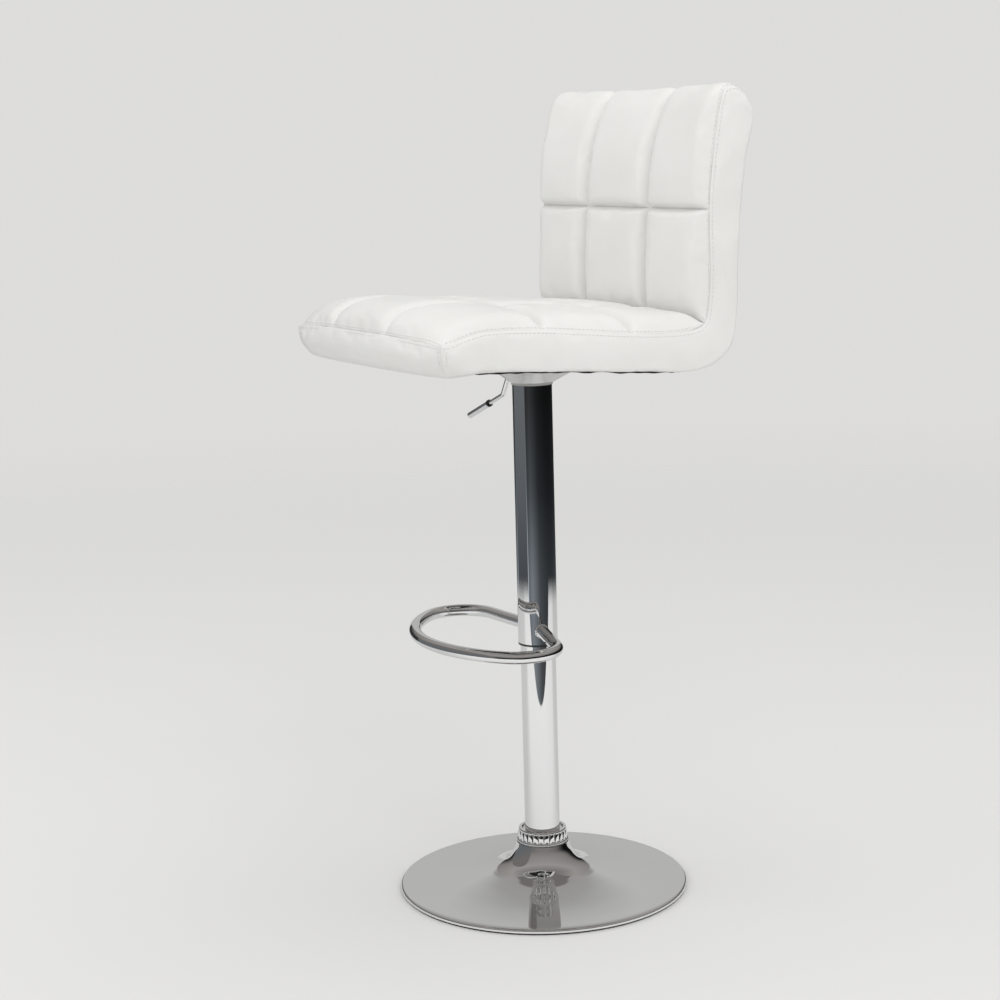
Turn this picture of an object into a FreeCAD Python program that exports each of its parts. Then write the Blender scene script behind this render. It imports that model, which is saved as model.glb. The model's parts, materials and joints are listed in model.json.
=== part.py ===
import FreeCAD, Part
import math
import os
import re
import Sketcher

# Adjustable swivel bar stool, in millimetres.
# Frame: origin on the floor at the column's axis, +Z up, front of the seat towards -Y, sitter's left at +X.
# The seat assembly has a frame of its own, tilted back about X: its origin is where the column's axis
# meets the underside of the seat board's dust cover.

doc = FreeCAD.newDocument("swivel_stool")
sheet = doc.addObject("Spreadsheet::Sheet", "dims")

DIMENSIONS = [
    # base
    ("base_radius", 192.5, "outer radius of the dished base"),
    ("pad_thick", 2.5, "floor pad under the base"),
    ("pad_inset", 2.0, "how far the floor pad sits inside the rim"),
    ("dish_top", 13.2, "height of the hub plate's top"),
    ("dish_edge_top", 7.4, "height of the dish just inside the rim"),
    ("dish_wall", 2.0, "thickness of the pressed dish"),
    ("weight_radius", 150.0, "ballast disc under the dish"),
    ("hub_radius", 103.0, "hub plate inside the dish"),
    ("neck_head_radius", 35.0, "dish's neck at its top"),
    ("neck_top", 60.0, "height of the neck's top"),
    ("collar_top", 79.0, "height of the trim collar's top"),
    ("collar_head_radius", 31.6, "trim collar at its top"),
    ("flange_radius", 50.0, "foot flange of the column"),
    ("flange_thick", 6.0, "foot flange of the column"),
    ("flange_bolt_radius", 37.0, "radius of the ring of base bolts"),
    ("base_bolt_radius", 4.0, "M8 base bolt"),
    # column, gas spring
    ("column_radius", 23.35, "fixed column tube, outside"),
    ("column_wall", 1.85, "fixed column tube's wall"),
    ("column_top", 438.0, "top of the fixed column tube"),
    ("end_plate_low", 30.0, "underside of the column's end plate"),
    ("end_plate_thick", 5.0, "column's end plate"),
    ("guide_length", 80.0, "guide bush inside the column's top"),
    ("rod_radius", 5.0, "piston rod"),
    ("race_outer", 13.0, "thrust bearing race, outside radius"),
    ("race_thick", 2.0, "thrust bearing race"),
    ("ball_radius", 1.95, "thrust bearing ball"),
    ("ball_circle", 9.75, "radius of the ring of balls"),
    ("cylinder_radius", 14.0, "pressure cylinder, outside"),
    ("cylinder_wall", 1.5, "pressure cylinder's wall"),
    ("cylinder_low", 257.0, "lower end of the pressure cylinder"),
    ("cylinder_top", 690.0, "upper end of the pressure cylinder"),
    ("taper_low", 652.0, "start of the cylinder's mounting taper"),
    ("taper_top_radius", 13.2, "mounting taper at its top"),
    ("piston_low", 279.0, "underside of the piston"),
    ("button_radius", 3.95, "valve button"),
    ("button_top", 697.0, "top of the valve button"),
    # sleeve and footrest
    ("sleeve_radius", 26.2, "sliding sleeve, outside"),
    ("sleeve_wall", 1.5, "sliding sleeve's wall"),
    ("sleeve_low", 334.0, "lower end of the sleeve tube"),
    ("sleeve_top", 679.0, "upper end of the sleeve tube"),
    ("footrest_height", 353.3, "centreline of the footrest tube"),
    ("footrest_tube", 8.0, "radius of the footrest tube"),
    ("footrest_wall", 1.5, "footrest tube's wall"),
    ("footrest_front_radius", 183.2, "front arc of the footrest's centreline"),
    ("footrest_front_centre", 21.6, "centre of the front arc, behind the column's axis"),
    ("footrest_corner_radius", 48.8, "bend at each rear corner of the footrest"),
    ("footrest_leg_angle", 11.4, "legs lean forward of square by this angle"),
    ("footrest_turn", 7.0, "the whole footrest is turned to the sitter's right by this angle"),
    # seat plate and lever
    ("seat_height", 712.5, "dust cover's underside at the column's axis"),
    ("seat_tilt", 4.3, "backward tilt of the seat"),
    ("plate_radius", 97.0, "flange of the seat plate"),
    ("plate_thick", 3.0, "seat plate"),
    ("funnel_head_radius", 78.0, "funnel where it meets the flange"),
    ("funnel_foot_radius", 28.0, "funnel's foot"),
    ("funnel_foot", 681.5, "height of the funnel's foot"),
    ("plate_bolt_offset", 60.8, "seat bolts from the centre, both ways"),
    ("plate_bolt_radius", 3.0, "M6 seat bolt"),
    ("socket_radius", 19.0, "taper socket, outside"),
    ("lever_radius", 3.0, "lever rod"),
    ("lever_height", 700.6, "lever rod's inner run and pivot"),
    ("pivot_offset", 30.0, "lever pivot from the column's axis"),
    ("pivot_radius", 2.0, "lever pivot pin"),
    ("grip_radius", 4.2, "lever grip"),
    ("grip_length", 62.0, "lever grip"),
    # seat and back, in the seat's own frame
    ("seat_width", 415.0, "overall width"),
    ("band_thick", 3.0, "padded boxing skin"),
    ("seat_front", 241.0, "seat's front corners, forward of the axis"),
    ("front_bow", 15.0, "how far the middle of the front edge stands forward"),
    ("seam_height", 48.0, "perimeter seam above the seat's underside"),
    ("front_seam_height", 29.0, "perimeter seam at the front edge"),
    ("seat_crown", 74.0, "crown of the seat above its underside"),
    ("back_face", 118.0, "crown of the backrest, behind the axis"),
    ("back_seam", 131.0, "perimeter seam of the backrest, behind the axis"),
    ("back_rear", 175.0, "rear of the backrest, behind the axis"),
    ("back_top", 359.0, "top of the backrest above the seat's underside"),
    ("board_thick", 12.0, "plywood boards"),
    ("board_width", 372.0, "plywood boards"),
    ("board_front", 222.0, "front of the seat board, forward of the axis"),
    ("board_lift", 1.0, "thickness of the dust cover under the board"),
    ("back_board_front", 156.0, "front of the back board, behind the axis"),
    ("back_board_low", 48.0, "lower edge of the back board"),
    ("back_board_top", 318.0, "top of the back board"),
    ("heel_low", 122.0, "where the rounded heel leaves the underside, behind the axis"),
    ("heel_high", 62.0, "where the rounded heel reaches the rear, above the underside"),
    ("bracket_offset", 110.0, "corner brackets from the middle"),
    ("bracket_width", 30.0, "corner bracket"),
    ("bracket_leg", 78.0, "corner bracket's legs"),
    ("bracket_thick", 3.0, "corner bracket"),
    ("bracket_corner", 18.0, "sloping run across the corner of a bracket"),
]
for row, (alias, number, note) in enumerate(DIMENSIONS, start=1):
    sheet.set(f"A{row}", note)
    sheet.set(f"B{row}", str(number))
    sheet.setAlias(f"B{row}", alias)
doc.recompute()


def number_of(expression):
    """The present value of an expression in the sheet's aliases."""
    result = sheet.evalExpression(str(expression))
    return float(getattr(result, "Value", result))


def bound(expression):
    """The expression as other objects need it, with the sheet's name before each alias."""
    return re.sub(r"\b([a-z]+_[a-z_]+)\b", r"dims.\1", str(expression))


def bind(thing, path, expression):
    """Ties one property of an object to the sheet."""
    thing.setExpression(path, bound(expression))


# The seat's own frame: turned about X so that the front is the higher end.
SEAT_FRAME = FreeCAD.Placement(
    FreeCAD.Vector(0, 0, number_of("seat_height")),
    FreeCAD.Rotation(FreeCAD.Vector(1, 0, 0), -number_of("seat_tilt")),
)

sub_parts = []


def new_body(label, placement=None):
    """An empty body that will be written to its own file."""
    body = doc.addObject("PartDesign::Body", label)
    body.Label = label
    if placement is not None:
        body.Placement = placement
    sub_parts.append(body)
    return body


def origin_plane(body, role):
    return next(f for f in body.Origin.OriginFeatures if f.Role == role)


def add_coordinate(sketch, kind, geometry, point, expression):
    """Fixes one coordinate of a sketch point by an expression."""
    index = sketch.addConstraint(
        Sketcher.Constraint(kind, -1, 1, geometry, point, number_of(expression))
    )
    bind(sketch, f"Constraints[{index}]", expression)


def add_loop(sketch, corners):
    """A closed straight-edged loop whose corners are pairs of expressions."""
    points = [FreeCAD.Vector(number_of(x), number_of(y), 0) for x, y in corners]
    first = sketch.GeometryCount
    count = len(points)
    for i in range(count):
        sketch.addGeometry(Part.LineSegment(points[i], points[(i + 1) % count]))
    for i in range(count):
        following = first + (i + 1) % count
        sketch.addConstraint(Sketcher.Constraint("Coincident", first + i, 2, following, 1))
    for i, (x, y) in enumerate(corners):
        add_coordinate(sketch, "DistanceX", first + i, 1, x)
        add_coordinate(sketch, "DistanceY", first + i, 1, y)


def add_circle(sketch, x, y, radius):
    """A circle whose centre and radius are expressions."""
    centre = FreeCAD.Vector(number_of(x), number_of(y), 0)
    circle = Part.Circle(centre, FreeCAD.Vector(0, 0, 1), number_of(radius))
    geometry = sketch.addGeometry(circle)
    add_coordinate(sketch, "DistanceX", geometry, 3, x)
    add_coordinate(sketch, "DistanceY", geometry, 3, y)
    index = sketch.addConstraint(Sketcher.Constraint("Radius", geometry, number_of(radius)))
    bind(sketch, f"Constraints[{index}]", radius)


def new_sketch(body, name, plane="XY_Plane", height="0", rotation=None, loops=(), circles=()):
    """A sketch on one of the body's origin planes, moved along the plane's normal by height."""
    sketch = body.newObject("Sketcher::SketchObject", name)
    sketch.AttachmentSupport = (origin_plane(body, plane), [""])
    sketch.MapMode = "FlatFace"
    base = FreeCAD.Vector(0, 0, number_of(height))
    sketch.AttachmentOffset = FreeCAD.Placement(base, rotation or FreeCAD.Rotation())
    bind(sketch, "AttachmentOffset.Base.z", height)
    for corners in loops:
        add_loop(sketch, corners)
    for circle in circles:
        add_circle(sketch, *circle)
    return sketch


def revolve(body, corners, degrees=360):
    """Turns a half section of (radius, height) corners about the Z axis."""
    sketch = new_sketch(body, body.Label + "_section", "XZ_Plane", loops=[corners])
    feature = body.newObject("PartDesign::Revolution", body.Label + "_turn")
    feature.Profile = sketch
    feature.ReferenceAxis = (sketch, ["V_Axis"])
    feature.Angle = degrees
    sketch.Visibility = False
    return feature


def pad(body, sketch, length, midplane=False, backwards=False):
    feature = body.newObject("PartDesign::Pad", sketch.Name + "_pad")
    feature.Profile = sketch
    bind(feature, "Length", length)
    feature.Midplane = midplane
    feature.Reversed = backwards
    doc.recompute()
    return feature


def pocket(body, sketch, depth, midplane=False, backwards=False):
    """Cuts a sketch out of a body and stops if nothing was removed."""
    doc.recompute()
    before = body.Shape.Volume
    feature = body.newObject("PartDesign::Pocket", sketch.Name + "_cut")
    feature.Profile = sketch
    bind(feature, "Length", depth)
    feature.Midplane = midplane
    feature.Reversed = backwards
    doc.recompute()
    if body.Shape.Volume > before - 0.5:
        raise RuntimeError(f"{feature.Name} removed nothing")
    return feature


def ring(radius, count, start=0.0):
    """Centres of evenly spaced points on a circle, as pairs of expressions."""
    turns = [start + 360.0 * i / count for i in range(count)]
    return [(f"{radius} * cos({t})", f"{radius} * sin({t})") for t in turns]


def turned(label, corners, placement=None, degrees=360):
    """A body that is one revolved section."""
    body = new_body(label, placement)
    revolve(body, corners, degrees)
    return body


def group_of_solids(label, shapes, placement=None):
    """Separate identical solids kept together under one name."""
    feature = doc.addObject("Part::Feature", label)
    feature.Label = label
    feature.Shape = Part.makeCompound(shapes)
    if placement is not None:
        feature.Placement = placement
    sub_parts.append(feature)
    return feature


# ---------------------------------------------------------------- base

def inner_line(corners, wall):
    """The same section line, moved down and inwards by a wall."""
    spots = [(number_of(radius), number_of(height)) for radius, height in corners]
    moved = []
    for index, (radius, height) in enumerate(corners):
        before, after = spots[max(index - 1, 0)], spots[min(index + 1, len(spots) - 1)]
        run, fall = after[0] - before[0], before[1] - after[1]
        length = math.hypot(run, fall)
        moved.append((f"{radius} - {fall / length:.4f} * {wall}",
                      f"{height} - {run / length:.4f} * {wall}"))
    return moved


def make_base():
    """Floor pad, ballast, hub plate, one-piece dish with its neck, and trim collar."""
    turned("floor_pad", [
        ("0", "0"), ("base_radius - pad_inset", "0"),
        ("base_radius - pad_inset", "pad_thick"), ("0", "pad_thick"),
    ])
    weight = turned("ballast_disc", [
        ("0", "pad_thick"), ("weight_radius", "pad_thick"),
        ("weight_radius", "pad_thick + 3.6"), ("hub_radius - 15", "dish_top - dish_wall - 0.5"),
        ("0", "dish_top - dish_wall - 0.5"),
    ])
    bolts = ring("flange_bolt_radius", 4, 45.0)
    holes = new_sketch(weight, "ballast_holes", height="pad_thick",
                       circles=[(x, y, "base_bolt_radius + 0.3") for x, y in bolts])
    pocket(weight, holes, "dish_top", backwards=True)
    bores = new_sketch(weight, "ballast_counterbores", height="pad_thick",
                       circles=[(x, y, "base_bolt_radius + 3.2") for x, y in bolts])
    pocket(weight, bores, "4.6", backwards=True)

    hub = turned("hub_plate", [
        ("12", "dish_top - dish_wall"), ("hub_radius", "dish_top - dish_wall"),
        ("hub_radius", "dish_top"), ("12", "dish_top"),
    ])
    hub_holes = new_sketch(hub, "hub_holes", height="0",
                           circles=[(x, y, "base_bolt_radius + 0.3") for x, y in bolts])
    pocket(hub, hub_holes, "dish_top + 5", backwards=True)

    # the neck sweeps down, turns through a small fillet and runs out over the dish
    line = [
        ("neck_head_radius", "neck_top"), ("neck_head_radius + 3", "neck_top - 9"),
        ("neck_head_radius + 6.5", "neck_top - 16.5"), ("neck_head_radius + 10.3", "neck_top - 22.6"),
        ("neck_head_radius + 14.5", "neck_top - 27.3"), ("neck_head_radius + 19", "neck_top - 30.5"),
        ("base_radius * 0.3065", "dish_edge_top + 19.6"), ("base_radius * 0.343", "dish_edge_top + 17"),
        ("base_radius * 0.4156", "dish_edge_top + 12.8"), ("base_radius * 0.5195", "dish_edge_top + 8.6"),
        ("base_radius * 0.6753", "dish_edge_top + 4.3"), ("base_radius * 0.8312", "dish_edge_top + 1.6"),
    ]
    turned("base_dish", line + [
        ("base_radius - 3.2", "dish_edge_top"), ("base_radius - 1.0", "dish_edge_top - 0.8"),
        ("base_radius", "dish_edge_top - 2.2"), ("base_radius", "pad_thick"),
        ("base_radius - dish_wall", "pad_thick"), ("base_radius - dish_wall", "dish_edge_top - 2.6"),
        ("base_radius - 4.2", "dish_edge_top - dish_wall"),
    ] + inner_line(line, "dish_wall")[::-1])
    turned("trim_collar", [
        ("column_radius + 0.05", "neck_top"), ("neck_head_radius", "neck_top"),
        ("neck_head_radius - 0.3", "neck_top + 2"), ("collar_head_radius + 0.5", "collar_top - 1.5"),
        ("collar_head_radius - 0.6", "collar_top"), ("column_radius + 0.05", "collar_top"),
    ])


def make_base_bolts():
    """Four countersunk-in-counterbore M8 bolts, heads down, screwed into the foot flange."""
    radius = number_of("base_bolt_radius")
    low = number_of("pad_thick") + 0.3
    high = number_of("dish_top + flange_thick") - 0.5
    shapes = []
    for x, y in ring("flange_bolt_radius", 4, 45.0):
        centre = FreeCAD.Vector(number_of(x), number_of(y), low)
        head = Part.makeCylinder(radius + 2.5, 4.0, centre)
        shank = Part.makeCylinder(radius, high - low, centre)
        socket = Part.makeCylinder(radius * 0.6, 2.4, centre)
        shapes.append(head.fuse(shank).cut(socket))
    group_of_solids("base_bolts", shapes)


# ---------------------------------------------------------------- column and gas spring

def make_column():
    """Fixed column: flange, tube, end plate and the guide bush in its top."""
    flange = turned("foot_flange", [
        ("column_radius + 0.02", "dish_top"), ("flange_radius", "dish_top"),
        ("flange_radius", "dish_top + flange_thick"), ("column_radius + 0.02", "dish_top + flange_thick"),
    ])
    bolts = ring("flange_bolt_radius", 4, 45.0)
    holes = new_sketch(flange, "flange_holes", height="0",
                       circles=[(x, y, "base_bolt_radius + 0.05") for x, y in bolts])
    pocket(flange, holes, "dish_top + flange_thick + 5", backwards=True)
    turned("column_tube", [
        ("column_radius - column_wall", "dish_top"), ("column_radius", "dish_top"),
        ("column_radius", "column_top"), ("column_radius - column_wall", "column_top"),
    ])
    turned("column_end_plate", [
        ("rod_radius + 0.1", "end_plate_low"), ("column_radius - column_wall - 0.02", "end_plate_low"),
        ("column_radius - column_wall - 0.02", "end_plate_low + end_plate_thick"),
        ("rod_radius + 0.1", "end_plate_low + end_plate_thick"),
    ])
    turned("guide_bush", [
        ("cylinder_radius + 0.05", "column_top - guide_length"),
        ("column_radius - column_wall - 0.02", "column_top - guide_length"),
        ("column_radius - column_wall - 0.02", "column_top"), ("column_radius - 0.35", "column_top"),
        ("column_radius - 0.35", "column_top + 3"), ("cylinder_radius + 0.05", "column_top + 3"),
    ])


def make_thrust_bearing():
    """Two flat races with a caged ring of balls between them, around the foot of the rod."""
    low = "end_plate_low + end_plate_thick"
    turned("bearing_race_lower", [
        ("rod_radius + 1", low), ("race_outer", low),
        ("race_outer", low + " + race_thick"), ("rod_radius + 1", low + " + race_thick"),
    ])
    middle = low + " + race_thick + ball_radius + 0.05"
    cage = turned("bearing_cage", [
        ("ball_circle - 2.8", middle + " - 0.7"), ("ball_circle + 2.8", middle + " - 0.7"),
        ("ball_circle + 2.8", middle + " + 0.7"), ("ball_circle - 2.8", middle + " + 0.7"),
    ])
    seats = new_sketch(cage, "cage_pockets", height="0",
                       circles=[(x, y, "ball_radius + 0.06") for x, y in ring("ball_circle", 9)])
    pocket(cage, seats, middle + " + 5", backwards=True)
    balls = []
    for x, y in ring("ball_circle", 9):
        centre = FreeCAD.Vector(number_of(x), number_of(y), number_of(middle))
        balls.append(Part.makeSphere(number_of("ball_radius"), centre))
    group_of_solids("bearing_balls", balls)
    upper = low + " + race_thick + 2 * ball_radius + 0.1"
    turned("bearing_race_upper", [
        ("rod_radius + 0.02", upper), ("race_outer", upper),
        ("race_outer", upper + " + race_thick"), ("rod_radius + 0.02", upper + " + race_thick"),
    ])
    return upper + " + race_thick"


def make_rod(shoulder):
    """Piston rod standing on the bearing, with its bump stop, piston, washer and clip."""
    groove = "end_plate_low - 2.9"
    turned("piston_rod", [
        ("0", "end_plate_low - 6"), ("rod_radius - 0.6", "end_plate_low - 6"),
        ("rod_radius", "end_plate_low - 5"), ("rod_radius", groove), ("rod_radius - 1", groove),
        ("rod_radius - 1", groove + " + 1.2"), ("rod_radius", groove + " + 1.2"),
        ("rod_radius", shoulder), ("rod_radius + 4", shoulder), ("rod_radius + 4", shoulder + " + 2"),
        ("rod_radius", shoulder + " + 2"), ("rod_radius", "piston_low"), ("rod_radius - 1", "piston_low"),
        ("rod_radius - 1", "piston_low + 17"), ("0", "piston_low + 17"),
    ])
    turned("bump_stop", [
        ("rod_radius + 0.02", shoulder + " + 2"), ("rod_radius + 5", shoulder + " + 2"),
        ("rod_radius + 4", shoulder + " + 6.5"), ("rod_radius + 0.02", shoulder + " + 6.5"),
    ])
    turned("piston", [
        ("rod_radius - 0.98", "piston_low"), ("cylinder_radius - cylinder_wall - 0.08", "piston_low"),
        ("cylinder_radius - cylinder_wall - 0.08", "piston_low + 12"),
        ("rod_radius - 0.98", "piston_low + 12"),
    ])
    nut = new_body("piston_nut")
    across = ring("(rod_radius + 2.5)", 6)
    section = new_sketch(nut, "piston_nut_section", height="piston_low + 12", loops=[across],
                         circles=[("0", "0", "rod_radius - 0.98")])
    pad(nut, section, "4.5")
    turned("retaining_washer", [
        ("rod_radius + 0.02", "end_plate_low - 1.6"), ("rod_radius + 5", "end_plate_low - 1.6"),
        ("rod_radius + 5", "end_plate_low - 0.1"), ("rod_radius + 0.02", "end_plate_low - 0.1"),
    ])
    turned("retaining_clip", [
        ("rod_radius - 0.95", groove + " + 0.05"), ("rod_radius + 3", groove + " + 0.05"),
        ("rod_radius + 3", groove + " + 1.15"), ("rod_radius - 0.95", groove + " + 1.15"),
    ], degrees=300)


def make_gas_cylinder():
    """Pressure cylinder with its lower gland, mounting taper and valve button."""
    inner = "cylinder_radius - cylinder_wall"
    turned("gas_cylinder", [
        (inner, "cylinder_low"), ("cylinder_radius", "cylinder_low"), ("cylinder_radius", "taper_low"),
        ("taper_top_radius", "cylinder_top"), ("button_radius + 0.05", "cylinder_top"),
        ("button_radius + 0.05", "cylinder_top - 22"), ("0", "cylinder_top - 22"),
        ("0", "taper_low + 4"), (inner, "taper_low + 4"),
    ])
    turned("cylinder_gland", [
        ("rod_radius + 0.05", "cylinder_low + 0.3"), (inner + " - 0.02", "cylinder_low + 0.3"),
        (inner + " - 0.02", "cylinder_low + 12"), ("rod_radius + 0.05", "cylinder_low + 12"),
    ])
    turned("valve_button", [
        ("0", "cylinder_top - 17"), ("button_radius", "cylinder_top - 17"),
        ("button_radius", "button_top - 0.8"), ("button_radius - 0.8", "button_top"), ("0", "button_top"),
    ])


# ---------------------------------------------------------------- sleeve and footrest

def make_sleeve():
    """Sliding sleeve with the bush at its foot and the ring at its head."""
    bore = "sleeve_radius - sleeve_wall"
    turned("sleeve_tube", [
        (bore, "sleeve_low"), ("sleeve_radius", "sleeve_low"),
        ("sleeve_radius", "sleeve_top"), (bore, "sleeve_top"),
    ])
    turned("sleeve_bush", [
        ("column_radius + 0.08", "sleeve_low - 2.2"), ("sleeve_radius", "sleeve_low - 2.2"),
        ("sleeve_radius", "sleeve_low"), (bore + " - 0.02", "sleeve_low"),
        (bore + " - 0.02", "sleeve_low + 26"), ("column_radius + 0.08", "sleeve_low + 26"),
    ])
    turned("sleeve_head_ring", [
        ("socket_radius + 2", "sleeve_top - 16"), (bore + " - 0.02", "sleeve_top - 16"),
        (bore + " - 0.02", "sleeve_top"), ("sleeve_radius + 1.2", "sleeve_top"),
        ("sleeve_radius + 1.2", "funnel_foot"), ("socket_radius + 2", "funnel_foot"),
    ])


def footrest_spine(body, name):
    """Centreline of the footrest: leg, corner, front arc, corner, leg, all tangent."""
    lean = math.radians(number_of("footrest_leg_angle"))
    corner = number_of("footrest_corner_radius")
    front = number_of("footrest_front_radius")
    rise = number_of("footrest_front_centre")
    start = number_of("sleeve_radius") - 4.0
    along = FreeCAD.Vector(math.cos(lean), -math.sin(lean), 0)
    across = FreeCAD.Vector(-math.sin(lean), -math.cos(lean), 0)
    big_centre = FreeCAD.Vector(0, rise, 0)
    # the corner's centre is one corner radius off the leg and (front - corner) from the big centre
    offset = across * corner - big_centre
    half = offset.dot(along)
    reach = math.sqrt(half * half - (offset.dot(offset) - (front - corner) ** 2)) - half
    small_centre = along * reach + across * corner
    outward = (small_centre - big_centre).normalize()
    leg_end = along * reach
    arc_end = big_centre + outward * front

    def mirrored(point):
        return FreeCAD.Vector(-point.x, point.y, 0)

    def angle(centre, point):
        return math.atan2(point.y - centre.y, point.x - centre.x)

    def arc(centre, radius, first, last):
        circle = Part.Circle(centre, FreeCAD.Vector(0, 0, 1), radius)
        return Part.ArcOfCircle(circle, angle(centre, first), angle(centre, last))

    sketch = new_sketch(body, name, height="footrest_height")
    leg_start = along * start
    sketch.addGeometry(Part.LineSegment(leg_start, leg_end))
    sketch.addGeometry(arc(small_centre, corner, arc_end, leg_end))
    sketch.addGeometry(arc(big_centre, front, mirrored(arc_end), arc_end))
    sketch.addGeometry(arc(mirrored(small_centre), corner, mirrored(leg_end), mirrored(arc_end)))
    sketch.addGeometry(Part.LineSegment(mirrored(leg_end), mirrored(leg_start)))
    # arcs run counter-clockwise, so point 1 is their first end and point 2 their last
    sketch.addConstraint(Sketcher.Constraint("Tangent", 0, 2, 1, 2))
    sketch.addConstraint(Sketcher.Constraint("Tangent", 1, 1, 2, 2))
    sketch.addConstraint(Sketcher.Constraint("Tangent", 2, 1, 3, 2))
    sketch.addConstraint(Sketcher.Constraint("Tangent", 3, 1, 4, 1))
    sketch.addConstraint(Sketcher.Constraint("Equal", 1, 3))
    sketch.addConstraint(Sketcher.Constraint("Symmetric", 0, 1, 4, 2, -2))
    sketch.addConstraint(Sketcher.Constraint("PointOnObject", 2, 3, -2))
    add_coordinate(sketch, "DistanceY", 2, 3, "footrest_front_centre")
    for geometry, radius in ((1, "footrest_corner_radius"), (2, "footrest_front_radius")):
        index = sketch.addConstraint(Sketcher.Constraint("Radius", geometry, number_of(radius)))
        bind(sketch, f"Constraints[{index}]", radius)
    add_coordinate(sketch, "DistanceX", 0, 1, "(sleeve_radius - 4) * cos(footrest_leg_angle)")
    add_coordinate(sketch, "DistanceY", 0, 1, "-(sleeve_radius - 4) * sin(footrest_leg_angle)")
    return sketch


def make_footrest():
    """Bent tube that leaves the sleeve at both sides and loops in front of it."""
    turn = FreeCAD.Rotation(FreeCAD.Vector(0, 0, 1), -number_of("footrest_turn"))
    body = new_body("footrest_loop", FreeCAD.Placement(FreeCAD.Vector(), turn))
    spine = footrest_spine(body, "footrest_spine")
    doc.recompute()
    leg_turn = FreeCAD.Rotation(FreeCAD.Vector(0, 0, 1), 90.0 - number_of("footrest_leg_angle"))
    for name, radius, kind in (
        ("footrest_outside", "footrest_tube", "PartDesign::AdditivePipe"),
        ("footrest_inside", "footrest_tube - footrest_wall", "PartDesign::SubtractivePipe"),
    ):
        profile = body.newObject("Sketcher::SketchObject", name)
        profile.AttachmentSupport = (origin_plane(body, "XY_Plane"), [""])
        profile.MapMode = "FlatFace"
        start = "(sleeve_radius - 4) * cos(footrest_leg_angle)"
        side = "-(sleeve_radius - 4) * sin(footrest_leg_angle)"
        upright = FreeCAD.Rotation(FreeCAD.Vector(1, 0, 0), 90.0)
        origin = FreeCAD.Vector(number_of(start), number_of(side), number_of("footrest_height"))
        profile.AttachmentOffset = FreeCAD.Placement(origin, leg_turn.multiply(upright))
        bind(profile, "AttachmentOffset.Base.x", start)
        bind(profile, "AttachmentOffset.Base.y", side)
        bind(profile, "AttachmentOffset.Base.z", "footrest_height")
        add_circle(profile, "0", "0", radius)
        doc.recompute()
        pipe = body.newObject(kind, name + "_pipe")
        pipe.Profile = profile
        pipe.Spine = spine
        doc.recompute()
    saddle = new_sketch(body, "footrest_saddle", height="footrest_height",
                        circles=[("0", "0", "sleeve_radius + 0.02")])
    pocket(body, saddle, "footrest_tube * 4", midplane=True)


# ---------------------------------------------------------------- seat plate and lever

def make_seat_plate():
    """Pressed plate: a tilted flange drawn down into a funnel over the sleeve."""
    body = new_body("seat_plate")
    tilt = FreeCAD.Rotation(FreeCAD.Vector(1, 0, 0), -number_of("seat_tilt"))

    def funnel(name, foot_height, foot_radius, head_height, head_radius, kind):
        foot = new_sketch(body, name + "_foot", height=foot_height, circles=[("0", "0", foot_radius)])
        head = new_sketch(body, name + "_head", height=head_height, rotation=tilt,
                          circles=[("0", "0", head_radius)])
        doc.recompute()
        loft = body.newObject(kind, name)
        loft.Profile = foot
        loft.Sections = [head]
        loft.Ruled = True
        doc.recompute()

    funnel("funnel_outside", "funnel_foot", "funnel_foot_radius",
           "seat_height", "funnel_head_radius", "PartDesign::AdditiveLoft")
    flange = new_sketch(body, "plate_flange", height="seat_height", rotation=tilt,
                        circles=[("0", "0", "plate_radius")])
    pad(body, flange, "plate_thick", backwards=True)
    funnel("funnel_inside", "funnel_foot + plate_thick", "funnel_foot_radius - 2.5",
           "seat_height + 0.5", "funnel_head_radius - 2.4", "PartDesign::SubtractiveLoft")
    hole = new_sketch(body, "plate_socket_hole", height="seat_height",
                      circles=[("0", "0", "socket_radius + 0.02")])
    pocket(body, hole, "seat_height - funnel_foot + 5")
    spots = [(sx + "plate_bolt_offset", sy + "plate_bolt_offset") for sx in ("", "-") for sy in ("", "-")]
    bolt_holes = new_sketch(body, "plate_bolt_holes", height="seat_height", rotation=tilt,
                            circles=[(x, y, "plate_bolt_radius + 0.3") for x, y in spots])
    pocket(body, bolt_holes, "plate_thick * 3", midplane=True)
    slot = new_sketch(body, "plate_lever_slot", height="lever_height + 3", loops=[[
        ("-72", "-5"), ("-43", "-5"), ("-43", "5"), ("-72", "5"),
    ]])
    pocket(body, slot, "22")

    turned("taper_socket", [
        ("cylinder_radius + 0.02", "taper_low"), ("socket_radius", "taper_low"),
        ("socket_radius", "cylinder_top + 1"), ("taper_top_radius + 0.02", "cylinder_top + 1"),
        ("taper_top_radius + 0.02", "cylinder_top"),
    ])
    return spots


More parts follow.
